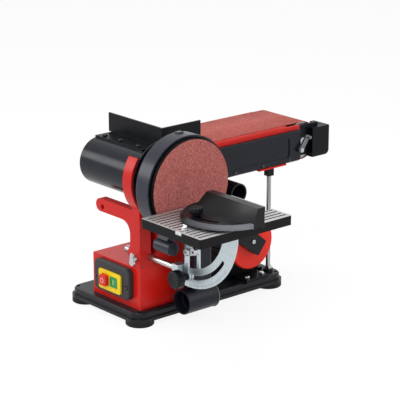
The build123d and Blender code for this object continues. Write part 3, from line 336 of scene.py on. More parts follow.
@dataclass(frozen=True)
class BareMetal(Finish):
    """Turned, drawn or plated metal: fine tool marks that stretch its highlights.

    The real marks are about 0.1 mm apart; they are drawn at mark_mm so that they show in the picture.
    """

    relief: float = 0.2
    depth_mm: float = 0.05
    uneven: tuple[float, float] = (-0.05, 0.15)
    dark: str = "#6F7276"
    grain: Grain = Grain.EVEN
    mark_mm: float = 1.5

    def constants(self) -> dict[str, float]:
        """Returns the values of bare metal."""
        return {"Metallic": 1.0}

    def surface(self, tree: Tree, shader: Node, place: Socket) -> None:
        """Adds tool marks to colour, roughness and relief.

        Args:
            tree: the material's tree.
            shader: its surface shader.
            place: object coordinates in metres.
        """
        scale = tuple(s / (self.mark_mm * MM) for s in self.grain.value)
        drawn = add(tree, "ShaderNodeMapping", {"Vector": place}, {"Scale": scale}).outputs["Vector"]
        marks = add(tree, "ShaderNodeTexNoise", {"Vector": drawn},
                    {"Scale": 1.0, "Detail": 3.0}).outputs["Fac"]
        contrast = add(tree, "ShaderNodeMapRange", {"Value": marks},
                       {"From Min": 0.35, "From Max": 0.65, "To Max": 0.6})
        tone = add(tree, "ShaderNodeMix", {0: contrast.outputs["Result"]},
                   {6: srgb(self.colour), 7: srgb(self.dark)}, data_type="RGBA")
        # Painted highlight and wear: the edges take the near-white edge colour, as glints and as rubbed
        # metal.
        self.wear_and_highlight_edges(tree, shader, tone.outputs[2], marks, marks)


@dataclass(frozen=True)
class Abrasive(Finish):
    """Aluminium oxide grit glued on cloth: red-brown grains among darker and paler ones, quite matt.

    The real grit is about 0.3 mm; it is drawn at grit_mm so that it shows in the picture.
    """

    relief: float = 0.6
    depth_mm: float = 0.25
    uneven: tuple[float, float] = (-0.15, 0.1)
    dark: str = "#7A3836"
    pale: str = "#D9A39B"
    grit_mm: float = 1.7
    cloud_mm: float = 45.0
    gloss: float = 0.25

    def constants(self) -> dict[str, float]:
        """Returns the values of the matt grit."""
        return {"Specular IOR Level": self.gloss}

    def surface(self, tree: Tree, shader: Node, place: Socket) -> None:
        """Adds the grains, their relief and worn patches.

        Args:
            tree: the material's tree.
            shader: its surface shader.
            place: object coordinates in metres.
        """
        cells = add(tree, "ShaderNodeTexVoronoi", {"Vector": place}, {"Scale": 1 / (self.grit_mm * MM)})
        cloud = add(tree, "ShaderNodeTexNoise", {"Vector": place},
                    {"Scale": 1 / (self.cloud_mm * MM), "Detail": 3.0})
        pick = add(tree, "ShaderNodeSeparateColor", {"Color": cells.outputs["Color"]})
        darker = add(tree, "ShaderNodeMapRange", {"Value": pick.outputs[0]},
                     {"From Min": 0.55, "From Max": 0.95, "To Max": 0.75})
        paler = add(tree, "ShaderNodeMapRange", {"Value": pick.outputs[1]},
                    {"From Min": 0.7, "From Max": 1.0, "To Max": 0.55})
        worn = add(tree, "ShaderNodeMapRange", {"Value": cloud.outputs["Fac"]},
                   {"From Min": 0.45, "From Max": 0.8, "To Max": 0.25})
        tone = add(tree, "ShaderNodeMix", {0: darker.outputs["Result"]},
                   {6: srgb(self.colour), 7: srgb(self.dark)}, data_type="RGBA")
        fleck = add(tree, "ShaderNodeMix", {0: paler.outputs["Result"], 6: tone.outputs[2]},
                    {7: srgb(self.pale)}, data_type="RGBA")
        used = add(tree, "ShaderNodeMix", {0: worn.outputs["Result"], 6: fleck.outputs[2]},
                   {7: srgb(self.dark)}, data_type="RGBA")
        self.cover(tree, shader, used.outputs[2], cells.outputs["Distance"], pick.outputs[2])


@dataclass(frozen=True)
class PlanedTable(Finish):
    """Die-cast aluminium table: bright planed rib tops along X, black paint everywhere else.

    The real planing marks are about 0.3 mm apart; they are drawn at mark_mm so that they show in the picture.
    """

    edge: str = "#2C2C30"
    relief: float = 0.3
    depth_mm: float = 0.06
    uneven: tuple[float, float] = (-0.05, 0.2)
    paint: str = "#0A0A0D"
    planed: str = "#9B9A9A"
    bare_above_mm: float = 205.05
    mark_mm: float = 2.2
    gloss: float = 0.15

    def constants(self) -> dict[str, float]:
        """Returns the values of the dull paint; bare metal takes its own from the mask."""
        return {"Specular IOR Level": self.gloss}

    def surface(self, tree: Tree, shader: Node, place: Socket) -> None:
        """Shows bare metal on the rib tops and paint below them.

        Args:
            tree: the material's tree.
            shader: its surface shader.
            place: object coordinates in metres.
        """
        bevel, rim = self.soft_edges(tree)
        height = add(tree, "ShaderNodeSeparateXYZ", {"Vector": place}).outputs["Z"]
        bare = add(tree, "ShaderNodeMath", {0: height}, {1: self.bare_above_mm * MM},
                   operation="GREATER_THAN").outputs[0]
        scale = tuple(s / (self.mark_mm * MM) for s in Grain.ALONG_X.value)
        drawn = add(tree, "ShaderNodeMapping", {"Vector": place}, {"Scale": scale}).outputs["Vector"]
        marks = add(tree, "ShaderNodeTexNoise", {"Vector": drawn},
                    {"Scale": 1.0, "Detail": 3.0}).outputs["Fac"]
        metal = add(tree, "ShaderNodeMix", {0: marks}, {6: srgb(self.colour), 7: srgb(self.planed)},
                    data_type="RGBA")
        # Paler paint on the edges: part wear, part painted highlight.
        coat = add(tree, "ShaderNodeMix", {0: rim}, {6: srgb(self.paint), 7: srgb(self.edge)},
                   data_type="RGBA")
        tone = add(tree, "ShaderNodeMix", {0: bare, 6: coat.outputs[2], 7: metal.outputs[2]},
                   data_type="RGBA")
        tree.links.new(bare, shader.inputs["Metallic"])
        self.cover(tree, shader, tone.outputs[2], marks, marks, bevel)


# Enamel sprayed on sheet steel: an even bright red with soft, slightly rippled highlights.
RED_ENAMEL = Enamel("red_sprayed_enamel", "#DB1F15", 0.3, shade="#CB180F")
# The same enamel over the rough skin of a casting, with a closer ripple; its deeper red is painted shade for
# the casting's shaded faces.
CAST_ENAMEL = Enamel("red_enamel_on_casting", "#D01D14", 0.33, shade="#BE160E", peel_mm=3.5)
# Enamel on the machined motor shield: a clear orange-red, the brightest of the reds; the extra brightness is
# painted light that makes up for the shade the table casts on it.
SHIELD_ENAMEL = Enamel("orange_red_sprayed_enamel", "#FF3424", 0.28, shade="#F62B1C", edge="#FF8F7E")
# Satin enamel sprayed on bent steel: deep blue-black faces, a dull sheen and paler edges, part rubbed wear
# and part painted highlight.
BLACK_ENAMEL = Enamel("black_sprayed_enamel", "#090B12", 0.36, shade="#06080E", edge="#3C3F4A",
                      coat=0.0, gloss=0.14)
# Enamel sprayed on the pressed tray: a greyer black, painted lighter for the light its side walls reflect,
# with paler painted highlight and some wear along its rolled edges.
BASE_ENAMEL = Enamel("black_enamel_on_pressed_steel", "#16171C", 0.34, shade="#101116", edge="#4A4C54",
                     coat=0.0, gloss=0.25)
# Enamel sprayed on a small smooth casting: near black, with a painted highlight of soft grey along its
# bevelled rim.
MITRE_ENAMEL = RimmedEnamel("black_gloss_enamel_on_casting", "#0F1014", 0.3, shade="#0A0B0E", edge="#6E7078",
                            peel_mm=8.0)
# Thin enamel on the turned disc plate, painted darker than the other black enamel as painted shade: almost no
# light comes back from its narrow rim.
DISC_ENAMEL = Enamel("black_enamel_on_turned_plate", "#050507", 0.5, shade="#040405", edge="#17171B",
                     coat=0.0, gloss=0.1)
# ABS from a spark-eroded mould: flat black with a broken, dull sheen.
BLACK_ABS = Moulded("black_moulded_abs", "#090A12", 0.42)
# ABS from a polished mould: clear streaks of light on black, which drifts towards grey.
BLACK_GLOSS_ABS = Moulded("black_abs_from_polished_mould", "#0B0D15", 0.22, edge="#5A5E6A", depth_mm=0.02,
                          drift=2.6)
# Thick glossy ABS moulding: a blue-grey black, painted lighter than the other black plastics as a painted
# highlight for its lit side, that also turns pale where it faces the lamp.
GUARD_ABS = Moulded("blue_black_moulded_abs", "#282A33", 0.26, edge="#5A5E6A", depth_mm=0.03, drift=1.8)
# Grained ABS moulding: warm grey-black and even.
SWITCH_ABS = Moulded("grey_black_moulded_abs", "#302E2F", 0.36)
# ABS tube moulding: blue-black with a soft line of light along it; painted lighter than the other black
# plastics, as painted light in the shaded inside of its mouth.
CHUTE_ABS = Moulded("black_abs_tube_moulding", "#181A24", 0.36)
# A thin pale ring on the tube's end: a painted highlight that stands in for the light along its edge.
CHUTE_EDGE_HIGHLIGHT = Moulded("grey_abs_painted_edge_highlight", "#7C8087", 0.3, edge="#9A9EA4")
# Grained ABS ring on the floor of a screw's well, matt near-black: painted shade, as hardly any light falls
# in.
WELL_SHADE_PAINT = Moulded("painted_shade_matt_black", "#040405", 0.75, edge="#0A0A0C")
# Moulded rubber: soft dark grey without highlights.
BLACK_RUBBER = Moulded("black_moulded_rubber", "#18181A", 0.68, edge="#3A3A3C", grain_mm=2.0)
# Baked powder coat: black with a fine pebbled relief that dulls it.
POWDER_BLACK = Moulded("black_powder_coat", "#141519", 0.4, grain_mm=1.6, depth_mm=0.08)
# Turned steel: bright grey with an even, fine grain.
TURNED_STEEL = BareMetal("turned_steel", "#C9CACB", 0.28)
# Drawn steel, marked along its length: pale with long streaks.
DRAWN_BAR = BareMetal("drawn_steel_bar", "#D2D2D2", 0.24, grain=Grain.ALONG_Y)
# Drawn steel that stands upright: greyer, with streaks from top to bottom.
DRAWN_POST = BareMetal("drawn_steel_post", "#B4B4B5", 0.26, grain=Grain.ALONG_Z)
# Bright zinc plate on small steel parts: sharp white glints.
PLATED_SCREW = BareMetal("bright_zinc_plated_steel", "#D8D9DA", 0.2)
# Zinc plate on stamped sheet: cool blue-grey with faint cloudy spangle.
ZINC_SHEET = BareMetal("zinc_plated_stamped_sheet", "#CAD5DA", 0.38, dark="#BAC5CA", mark_mm=5.0)
# Tumbled zinc casting: dull middle grey.
DULL_ZINC = BareMetal("tumbled_zinc_casting", "#74797D", 0.42, dark="#5C6165")
# Turned aluminium: soft white-grey rings of light.
TURNED_ALUMINIUM = BareMetal("turned_aluminium", "#CFCFD0", 0.32, grain=Grain.ALONG_X)
# Planed steel: near white, with fine lines along its length.
PLANED_BAR = BareMetal("planed_steel", "#E4E4E4", 0.34, dark="#B9BABC", grain=Grain.ALONG_X)
# Oil-blackened steel: dark with a weak metal glint.
BLACKENED_SCREW = BareMetal("blackened_steel", "#2B2C30", 0.42, dark="#17181A")
# Die-cast aluminium, painted and then planed: bright rib tops between black grooves.
TABLE_METAL = PlanedTable("planed_die_cast_aluminium", "#E6E6E6", 0.42)
# Aluminium oxide on paper: rose-brown with dark and pale specks.
DISC_GRIT = Abrasive("aluminium_oxide_paper", "#B9655F", 0.8, dark="#8C4744", pale="#D8A09A")
# Aluminium oxide on cloth: a warmer red-brown, more even than the disc.
BELT_GRIT = Abrasive("aluminium_oxide_cloth", "#BC5F56", 0.8, dark="#99483F", pale="#D08E83")
# Coloured ABS from a polished mould: clean signal colours with a smooth sheen.
YELLOW_PLATE = Moulded("yellow_moulded_abs", "#E8C413", 0.32, edge="#F3DE72", depth_mm=0.02)
STOP_RED = Moulded("red_moulded_abs", "#C92A20", 0.3, edge="#E58B80", depth_mm=0.02)
START_GREEN = Moulded("green_moulded_abs", "#2E8A45", 0.3, edge="#86C296", depth_mm=0.02)
# Ink rubbed into moulded and stamped marks: matt, and a tint of what lies under it.
STOP_MARK = Moulded("pale_red_rubbed_ink", "#E7B0A8", 0.4, edge="#F0D0CA", depth_mm=0.02)
START_MARK = Moulded("pale_green_rubbed_ink", "#BFE0C6", 0.4, edge="#DDF0E0", depth_mm=0.02)
STAMPED_MARK = Moulded("dark_rubbed_ink", "#3C4043", 0.5, edge="#55595C", depth_mm=0.02)


def dress(finish: Finish, *names: str) -> None:
    """Gives CAD nodes a finish.

    Args:
        finish: the finish that they take.
        names: the nodes' names.
    """
    for name in names:
        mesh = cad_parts[name].data
        mesh.materials.clear()
        mesh.materials.append(finish.material())
        LOG.info("dressed %s in %s", name, finish.name)


def keep_piece(name: str, mesh: bpy.types.Mesh, finish: Finish, body: str, slot: str,
               *stands_for: str) -> bpy.types.Object:
    """Makes a finished mesh a piece of the object.

    Args:
        name: the piece's name.
        mesh: its mesh, in place.
        finish: its finish.
        body: the body that it rides on.
        slot: the record's slot of its finish; not used.
        stands_for: CAD nodes that it replaces.

    Returns:
        The new piece.
    """
    shell = bmesh.new()
    shell.from_mesh(mesh)
    bmesh.ops.recalc_face_normals(shell, faces=shell.faces)
    shell.to_mesh(mesh)
    shell.free()
    mesh.materials.clear()
    mesh.materials.append(finish.material())
    piece = bpy.data.objects.new(name, mesh)
    bpy.context.scene.collection.objects.link(piece)
    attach(piece, body)
    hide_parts(*stands_for)
    LOG.info("built %s with %d faces on %s", name, len(mesh.polygons), body)
    return piece


def turned(name: str, profile: Outline, seat: Place, axis: Place, lobes: int = 0, depth: float = 0.0,
           hollow: bool = False, steps: int = 96) -> bpy.types.Mesh:
    """Turns a profile round an axis, with soft lobes where it is widest.

    Args:
        name: the mesh's name.
        profile: radius and height of each ring in millimetres, from the seat outwards.
        seat: where height 0 is, in millimetres.
        axis: direction of growing height.
        lobes: number of lobes round the grip.
        depth: share of the radius that a lobe adds and a hollow takes.
        hollow: whether the last ring joins the first, as on a washer.
        steps: points round a ring.

    Returns:
        A closed mesh in metres.
    """
    shape = bmesh.new()
    grip = GRIP_SHARE * max(radius for radius, _ in profile)
    rings = []
    for radius, height in profile:
        ring = []
        swell = depth if radius > grip else 0.0
        for step in range(steps if radius else 1):
            angle = math.tau * step / steps
            reach = radius * (1 + swell * math.cos(lobes * angle))
            ring.append(shape.verts.new((reach * math.cos(angle), reach * math.sin(angle), height)))
        rings.append(ring)
    if hollow:
        rings.append(rings[0])
    for low, high in zip(rings, rings[1:]):
        for step in range(steps):
            after = (step + 1) % steps
            corners = (low[step % len(low)], low[after % len(low)],
                       high[after % len(high)], high[step % len(high)])
            shape.faces.new(dict.fromkeys(corners))
    turn = Vector((0, 0, 1)).rotation_difference(Vector(axis)).to_matrix().to_4x4()
    place = Matrix.Scale(MM, 4) @ Matrix.Translation(seat) @ turn
    bmesh.ops.transform(shape, matrix=place, verts=shape.verts)
    mesh = bpy.data.meshes.new(name)
    shape.to_mesh(mesh)
    shape.free()
    mesh.shade_smooth()
    mesh.set_sharp_from_angle(angle=SHARP_ANGLE)
    return mesh


def bar(name: str, size: Place, centre: Place = (0, 0, 0), edge: float = 0.2) -> bpy.types.Mesh:
    """Makes a bar with bevelled edges.

    Args:
        name: the mesh's name.
        size: its size along X, Y and Z in millimetres.
        centre: its middle in millimetres.
        edge: width of its bevel in millimetres.

    Returns:
        A closed mesh in metres.
    """
    shape = bmesh.new()
    place = Matrix.Translation(Vector(centre) * MM) @ Matrix.Diagonal((*(s * MM for s in size), 1.0))
    bmesh.ops.create_cube(shape, size=1.0, matrix=place)
    bmesh.ops.bevel(shape, geom=shape.edges[:], offset=edge * MM, segments=2, affect="EDGES", profile=0.5)
    mesh = bpy.data.meshes.new(name)
    shape.to_mesh(mesh)
    shape.free()
    return mesh


def strip(name: str, side: Outline, near: float, far: float) -> bpy.types.Mesh:
    """Makes a bent strip from its side view.

    Args:
        name: the mesh's name.
        side: corners of the side view as X and Z in millimetres, in order round the outline.
        near: its near face in Y, in millimetres.
        far: its far face in Y, in millimetres.

    Returns:
        A closed mesh in metres.
    """
    shape = bmesh.new()
    rows = [[shape.verts.new((x * MM, y * MM, z * MM)) for x, z in side] for y in (near, far)]
    for row in rows:
        shape.faces.new(row)
    for index in range(len(side)):
        shape.faces.new((rows[0][index - 1], rows[0][index], rows[1][index], rows[1][index - 1]))
    mesh = bpy.data.meshes.new(name)
    shape.to_mesh(mesh)
    shape.free()
    return mesh


def dots(name: str, places: tuple[Place, ...]) -> bpy.types.Mesh:
    """Makes loose points for screws to stand on.

    Args:
        name: the mesh's name.
        places: the points in millimetres.

    Returns:
        A mesh of points only, in metres.
    """
    mesh = bpy.data.meshes.new(name)
    mesh.from_pydata([metres(place) for place in places], [], [])
    return mesh


class Recess(Enum):
    """What is sunk into a screw head; the value is the number of sides of one tool."""

    NONE = 0
    CROSS = 1
    HEX = 6
    THROUGH = 32


class GrowthTree:
    """A Geometry Nodes tree with named sizes that grows a mesh from a base mesh."""

    def __init__(self, name: str, sizes: dict[str, str]) -> None:
        """Starts the tree.

        Args:
            name: the tree's name.
            sizes: name of each size to the type of its socket, without the common prefix.
        """
        self.tree = bpy.data.node_groups.new(name, "GeometryNodeTree")
        sockets = {"Geometry": "Geometry", **sizes, "Material": "Material"}
        for label, kind in sockets.items():
            self.tree.interface.new_socket(label, in_out="INPUT", socket_type="NodeSocket" + kind)
        self.tree.interface.new_socket("Geometry", in_out="OUTPUT", socket_type="NodeSocketGeometry")
        self.inlet = add(self.tree, "NodeGroupInput").outputs

    def close(self, grown: Socket) -> None:
        """Makes instances real, sets the material and ends the tree.

        Args:
            grown: the geometry so far.
        """
        real = add(self.tree, "GeometryNodeRealizeInstances", {"Geometry": grown})
        painted = add(self.tree, "GeometryNodeSetMaterial",
                      {"Geometry": real.outputs[0], "Material": self.inlet["Material"]})
        add(self.tree, "NodeGroupOutput", {0: painted.outputs[0]})

    def run(self, base: bpy.types.Mesh, finish: Finish, sizes: dict[str, object]) -> bpy.types.Mesh:
        """Grows a plain mesh.

        Args:
            base: the mesh that the tree starts from.
            finish: the finish of the result.
            sizes: value of each named size, in metres and radians.

        Returns:
            The grown mesh.
        """
        holder = bpy.data.objects.new(base.name, base)
        bpy.context.scene.collection.objects.link(holder)
        modifier = holder.modifiers.new("growth", "NODES")
        modifier.node_group = self.tree
        values = {**sizes, "Material": finish.material()}
        for item in self.tree.interface.items_tree:
            if item.in_out == "INPUT" and item.name in values:
                modifier[item.identifier] = values[item.name]
        graph = bpy.context.evaluated_depsgraph_get()
        mesh = bpy.data.meshes.new_from_object(holder.evaluated_get(graph), depsgraph=graph)
        holder.modifiers.remove(modifier)
        bpy.data.objects.remove(holder)
        return mesh


class ScrewTree(GrowthTree):
    """Chamfered screw heads or nuts on every point of the base mesh."""

    def __init__(self, recess: Recess) -> None:
        """Builds the tree.

        Args:
            recess: what is sunk into the head.
        """
        sizes = {"Sides": "Int", "Radius": "Float", "Height": "Float", "Chamfer": "Float", "Drive": "Float",
                 "Depth": "Float", "Axis": "Vector"}
        super().__init__("screws_" + recess.name.lower(), sizes)
        tree, inlet = self.tree, self.inlet
        wall = add(tree, "ShaderNodeMath", {0: inlet["Height"], 1: inlet["Chamfer"]},
                   operation="SUBTRACT").outputs[0]
        stem = add(tree, "GeometryNodeMeshCylinder",
                   {"Vertices": inlet["Sides"], "Radius": inlet["Radius"], "Depth": wall}, fill_type="NGON")
        top = add(tree, "GeometryNodeExtrudeMesh",
                  {"Mesh": stem.outputs["Mesh"], "Selection": stem.outputs["Top"],
                   "Offset Scale": inlet["Chamfer"]},
                  {"Individual": False}, mode="FACES")
        narrow = add(tree, "ShaderNodeMath", {0: inlet["Radius"], 1: inlet["Chamfer"]},
                     operation="SUBTRACT").outputs[0]
        share = add(tree, "ShaderNodeMath", {0: narrow, 1: inlet["Radius"]}, operation="DIVIDE").outputs[0]
        head = add(tree, "GeometryNodeScaleElements",
                   {"Geometry": top.outputs["Mesh"], "Selection": top.outputs["Top"], "Scale": share})
        half = add(tree, "ShaderNodeMath", {0: wall}, {1: 0.5}, operation="MULTIPLY").outputs[0]
        lift = add(tree, "ShaderNodeCombineXYZ", {"Z": half}).outputs[0]
        shape = add(tree, "GeometryNodeSetPosition", {"Geometry": head.outputs[0], "Offset": lift}).outputs[0]
        for tool in self.tools(recess):
            peak = add(tree, "ShaderNodeCombineXYZ", {"Z": inlet["Height"]}).outputs[0]
            sunk = add(tree, "GeometryNodeSetPosition", {"Geometry": tool, "Offset": peak}).outputs[0]
            shape = add(tree, "GeometryNodeMeshBoolean", {"Mesh 1": shape, "Mesh 2": sunk},
                        operation="DIFFERENCE", solver="EXACT").outputs["Mesh"]
        aim = add(tree, "FunctionNodeAlignRotationToVector", {"Vector": inlet["Axis"]}, axis="Z").outputs[0]
        heads = add(tree, "GeometryNodeInstanceOnPoints",
                    {"Points": inlet["Geometry"], "Instance": shape, "Rotation": aim})
        self.close(heads.outputs[0])

    def tools(self, recess: Recess) -> list[Socket]:
        """Makes the shapes that are cut out of the head.

        Args:
            recess: what is sunk into the head.

        Returns:
            Their meshes, each centred on the origin.
        """
        tree, inlet = self.tree, self.inlet
        twice = add(tree, "ShaderNodeMath", {0: inlet["Depth"]}, {1: 2.0}, operation="MULTIPLY").outputs[0]
        if recess is Recess.CROSS:
            long = add(tree, "ShaderNodeMath", {0: inlet["Drive"]}, {1: 2.0}, operation="MULTIPLY").outputs[0]
            thin = add(tree, "ShaderNodeMath", {0: inlet["Drive"]}, {1: 0.5}, operation="MULTIPLY").outputs[0]
            arms = []
            for x, y in ((long, thin), (thin, long)):
                size = add(tree, "ShaderNodeCombineXYZ", {"X": x, "Y": y, "Z": twice}).outputs[0]
                arms.append(add(tree, "GeometryNodeMeshCube", {"Size": size}).outputs["Mesh"])
            return arms
        if recess is Recess.NONE:
            return []
        return [add(tree, "GeometryNodeMeshCylinder", {"Radius": inlet["Drive"], "Depth": twice},
                    {"Vertices": recess.value}, fill_type="NGON").outputs["Mesh"]]


class RingTree(GrowthTree):
    """Copies of the base mesh along an arc, every so many of them longer."""

    def __init__(self) -> None:
        """Builds the tree."""
        sizes = {"Count": "Int", "First": "Float", "Step": "Float", "Radius": "Float", "Long every": "Int",
                 "Long share": "Float", "Centre": "Vector", "Axis": "Vector", "Zero": "Vector"}
        super().__init__("arc_of_bars", sizes)
        tree, inlet = self.tree, self.inlet
        line = add(tree, "GeometryNodeMeshLine", {"Count": inlet["Count"]})
        index = add(tree, "GeometryNodeInputIndex").outputs[0]
        angle = add(tree, "ShaderNodeMath", {0: index, 1: inlet["Step"], 2: inlet["First"]},
                    operation="MULTIPLY_ADD").outputs[0]
        spin = add(tree, "FunctionNodeAxisAngleToRotation", {"Angle": angle}, {"Axis": (0, 0, 1)}).outputs[0]
        spoke = add(tree, "ShaderNodeCombineXYZ", {"X": inlet["Radius"]}).outputs[0]
        spot = add(tree, "FunctionNodeRotateVector", {"Vector": spoke, "Rotation": spin}).outputs[0]
        points = add(tree, "GeometryNodeSetPosition", {"Geometry": line.outputs["Mesh"], "Position": spot})
        count = add(tree, "ShaderNodeMath", {0: index, 1: inlet["Long every"]}, operation="MODULO").outputs[0]
        first = add(tree, "ShaderNodeMath", {0: count}, {1: 0.5}, operation="LESS_THAN").outputs[0]
        reach = add(tree, "ShaderNodeMapRange", {"Value": first, "To Max": inlet["Long share"]},
                    {"To Min": 1.0})
        scale = add(tree, "ShaderNodeCombineXYZ", {"X": reach.outputs[0]}, {"Y": 1.0, "Z": 1.0}).outputs[0]
        bars = add(tree, "GeometryNodeInstanceOnPoints",
                   {"Points": points.outputs[0], "Instance": inlet["Geometry"], "Rotation": spin,
                    "Scale": scale})
        lie = add(tree, "FunctionNodeAxesToRotation",
                  {"Primary Axis": inlet["Axis"], "Secondary Axis": inlet["Zero"]},
                  primary_axis="Z", secondary_axis="X").outputs[0]
        placed = add(tree, "GeometryNodeTransform",
                     {"Geometry": bars.outputs[0], "Translation": inlet["Centre"], "Rotation": lie})
        self.close(placed.outputs[0])


class BeltTree(GrowthTree):
    """A flat strip swept round two rollers of one size."""

    def __init__(self) -> None:
        """Builds the tree."""
        sizes = {"Radius": "Float", "Span": "Float", "Width": "Float", "Thickness": "Float",
                 "Centre": "Vector"}
        super().__init__("belt_sweep", sizes)
        tree, inlet = self.tree, self.inlet
        round_path = add(tree, "GeometryNodeCurvePrimitiveCircle", {"Radius": inlet["Radius"]},
                         {"Resolution": 160})
        place = add(tree, "GeometryNodeInputPosition").outputs[0]
        along = add(tree, "ShaderNodeSeparateXYZ", {"Vector": place}).outputs["X"]
        far = add(tree, "ShaderNodeMath", {0: along}, {1: BELT_SPLIT}, operation="GREATER_THAN").outputs[0]
        shift = add(tree, "ShaderNodeMath", {0: far, 1: inlet["Span"]}, operation="MULTIPLY").outputs[0]
        offset = add(tree, "ShaderNodeCombineXYZ", {"X": shift}).outputs[0]
        loop = add(tree, "GeometryNodeSetPosition", {"Geometry": round_path.outputs[0], "Offset": offset})
        level = add(tree, "GeometryNodeSetCurveNormal", {"Curve": loop.outputs[0]}, mode="Z_UP")
        section = add(tree, "GeometryNodeCurvePrimitiveQuadrilateral",
                      {"Width": inlet["Thickness"], "Height": inlet["Width"]})
        swept = add(tree, "GeometryNodeCurveToMesh",
                    {"Curve": level.outputs[0], "Profile Curve": section.outputs[0]})
        stood = add(tree, "GeometryNodeTransform",
                    {"Geometry": swept.outputs[0], "Translation": inlet["Centre"]},
                    {"Rotation": (math.pi / 2, 0, 0)})
        self.close(stood.outputs[0])


@dataclass(frozen=True)
class ScrewSet:
    """Screws or nuts of one kind: where they stand and their sizes in millimetres."""

    name: str
    places: tuple[Place, ...]
    axis: Place
    radius: float
    height: float
    finish: Finish
    body: str
    node: str = ""
    recess: Recess = Recess.NONE
    sides: int = 40
    drive: float = 0.0
    depth: float = 0.0
    chamfer: float = 0.5

    def build(self) -> None:
        """Grows the heads and keeps them as one piece."""
        sizes = {"Sides": self.sides, "Radius": self.radius * MM, "Height": self.height * MM,
                 "Chamfer": self.chamfer * MM, "Drive": self.drive * MM, "Depth": self.depth * MM,
                 "Axis": self.axis}
        mesh = ScrewTree(self.recess).run(dots(self.name, self.places), self.finish, sizes)
        replaced = (self.node,) if self.node else ()
        keep_piece(self.name, mesh, self.finish, self.body, "bright_fasteners", *replaced)


@dataclass(frozen=True)
class BarArc:
    """Bars along an arc, in millimetres and degrees."""

    count: int
    first: float
    step: float
    radius: float
    centre: Place
    axis: Place
    zero: Place
    long_every: int = 1000
    long_share: float = 1.0

    def sizes(self) -> dict[str, object]:
        """Returns the named sizes of the tree that grows the bars, in metres and radians."""
        return {"Count": self.count, "First": math.radians(self.first), "Step": math.radians(self.step),
                "Radius": self.radius * MM, "Long every": self.long_every, "Long share": self.long_share,
                "Centre": metres(self.centre), "Axis": self.axis, "Zero": self.zero}


@dataclass(frozen=True)
class SoftLamp:
    """A square soft lamp: its place and side in metres, and its power."""

    name: str
    place: Place
    side: float
    watts: float

    def build(self, aim: Place) -> None:
        """Adds the lamp.

        Args:
            aim: the point that it faces.
        """
        data = bpy.data.lights.new(self.name, "AREA")
        data.size = self.side
        data.energy = self.watts
        lamp = bpy.data.objects.new(self.name, data)
        lamp.location = self.place
        lamp.rotation_euler = (Vector(aim) - Vector(self.place)).to_track_quat("-Z", "Y").to_euler()
        bpy.context.scene.collection.objects.link(lamp)


@dataclass
class Studio:
    """White sweep, soft lamps and the camera, in metres."""

    eye: Place = (-1.7500, -2.0878, 0.9990)
    aim: Place = (-0.0778, -0.1458, 0.2093)
    lens_mm: float = 157.8
    sensor_mm: float = 36.0
    floor_side: float = 12.0
    floor_colour: str = "#F2F2F2"
    floor_glow: float = 1.05
    floor_share: float = 0.85
    white: str = "#FFFFFF"
    world_light: float = 0.45
    lamps: tuple[SoftLamp, ...] = (
        SoftLamp("key_lamp", (-1.5, -1.0, 1.75), side=1.3, watts=22.0),
        SoftLamp("fill_lamp", (1.2, -1.7, 1.1), side=1.4, watts=9.0),
        SoftLamp("top_lamp", (0.1, 0.5, 2.0), side=1.2, watts=9.0),
        SoftLamp("rim_lamp", (-1.45, 1.45, 0.95), side=0.8, watts=10.0),
    )

    def build(self) -> None:
        """Makes floor, world, lamps and camera."""
        self.floor()
        self.world()
        for lamp in self.lamps:
            lamp.build(self.aim)
        self.camera()
        bpy.context.scene.view_settings.view_transform = "Standard"

    @staticmethod
    def seen(tree: Tree) -> Socket:
        """Finds the rays that show the background itself.

        Args:
            tree: the tree of the floor or the world.

        Returns:
            A socket that is 1 for those rays and 0 for rays that light the object.
        """
        path = add(tree, "ShaderNodeLightPath").outputs
        shiny = add(tree, "ShaderNodeMath", {0: path["Is Camera Ray"], 1: path["Is Glossy Ray"]},
                    operation="MAXIMUM")
        last = add(tree, "ShaderNodeMath", {0: shiny.outputs[0], 1: path["Is Transmission Ray"]},
                   operation="MAXIMUM")
        return last.outputs[0]

    def floor(self) -> None:
        """Makes the pale floor, white to the camera but for a soft shadow."""
        shape = bmesh.new()
        bmesh.ops.create_grid(shape, x_segments=1, y_segments=1, size=self.floor_side / 2)
        mesh = bpy.data.meshes.new("floor")
        shape.to_mesh(mesh)
        shape.free()
        piece = bpy.data.objects.new("floor", mesh)
        bpy.context.scene.collection.objects.link(piece)
        paper = bpy.data.materials.new("white_paper")
        paper.use_nodes = True
        tree = paper.node_tree
        tree.nodes.clear()
        matt = add(tree, "ShaderNodeBsdfDiffuse", values={"Color": srgb(self.floor_colour)})
        bright = {"Color": srgb(self.white), "Strength": self.floor_glow}
        glow = add(tree, "ShaderNodeEmission", values=bright)
        share = add(tree, "ShaderNodeMath", {0: self.seen(tree)}, {1: self.floor_share}, operation="MULTIPLY")
        both = add(tree, "ShaderNodeMixShader", {0: share.outputs[0], 1: matt.outputs[0], 2: glow.outputs[0]})
        add(tree, "ShaderNodeOutputMaterial", {"Surface": both.outputs[0]})
        mesh.materials.append(paper)

    def world(self) -> None:
        """Makes the world: white where it is seen, softer where it lights."""
        world = bpy.data.worlds.new("white_sweep")
        bpy.context.scene.world = world
        world.use_nodes = True
        tree = world.node_tree
        tree.nodes.clear()
        colour = {"Color": srgb(self.white)}
        light = add(tree, "ShaderNodeBackground", values={**colour, "Strength": self.world_light})
        white = add(tree, "ShaderNodeBackground", values={**colour, "Strength": 1.0})
        links = {0: self.seen(tree), 1: light.outputs[0], 2: white.outputs[0]}
        both = add(tree, "ShaderNodeMixShader", links)
        add(tree, "ShaderNodeOutputWorld", {"Surface": both.outputs[0]})

    def camera(self) -> None:
        """Adds the camera at the photograph's angle."""
        data = bpy.data.cameras.new("camera")
        data.lens = self.lens_mm
        data.sensor_width = self.sensor_mm
        camera = bpy.data.objects.new("camera", data)
        camera.location = self.eye
        camera.rotation_euler = (Vector(self.aim) - Vector(self.eye)).to_track_quat("-Z", "Y").to_euler()
        bpy.context.scene.collection.objects.link(camera)
        bpy.context.scene.camera = camera


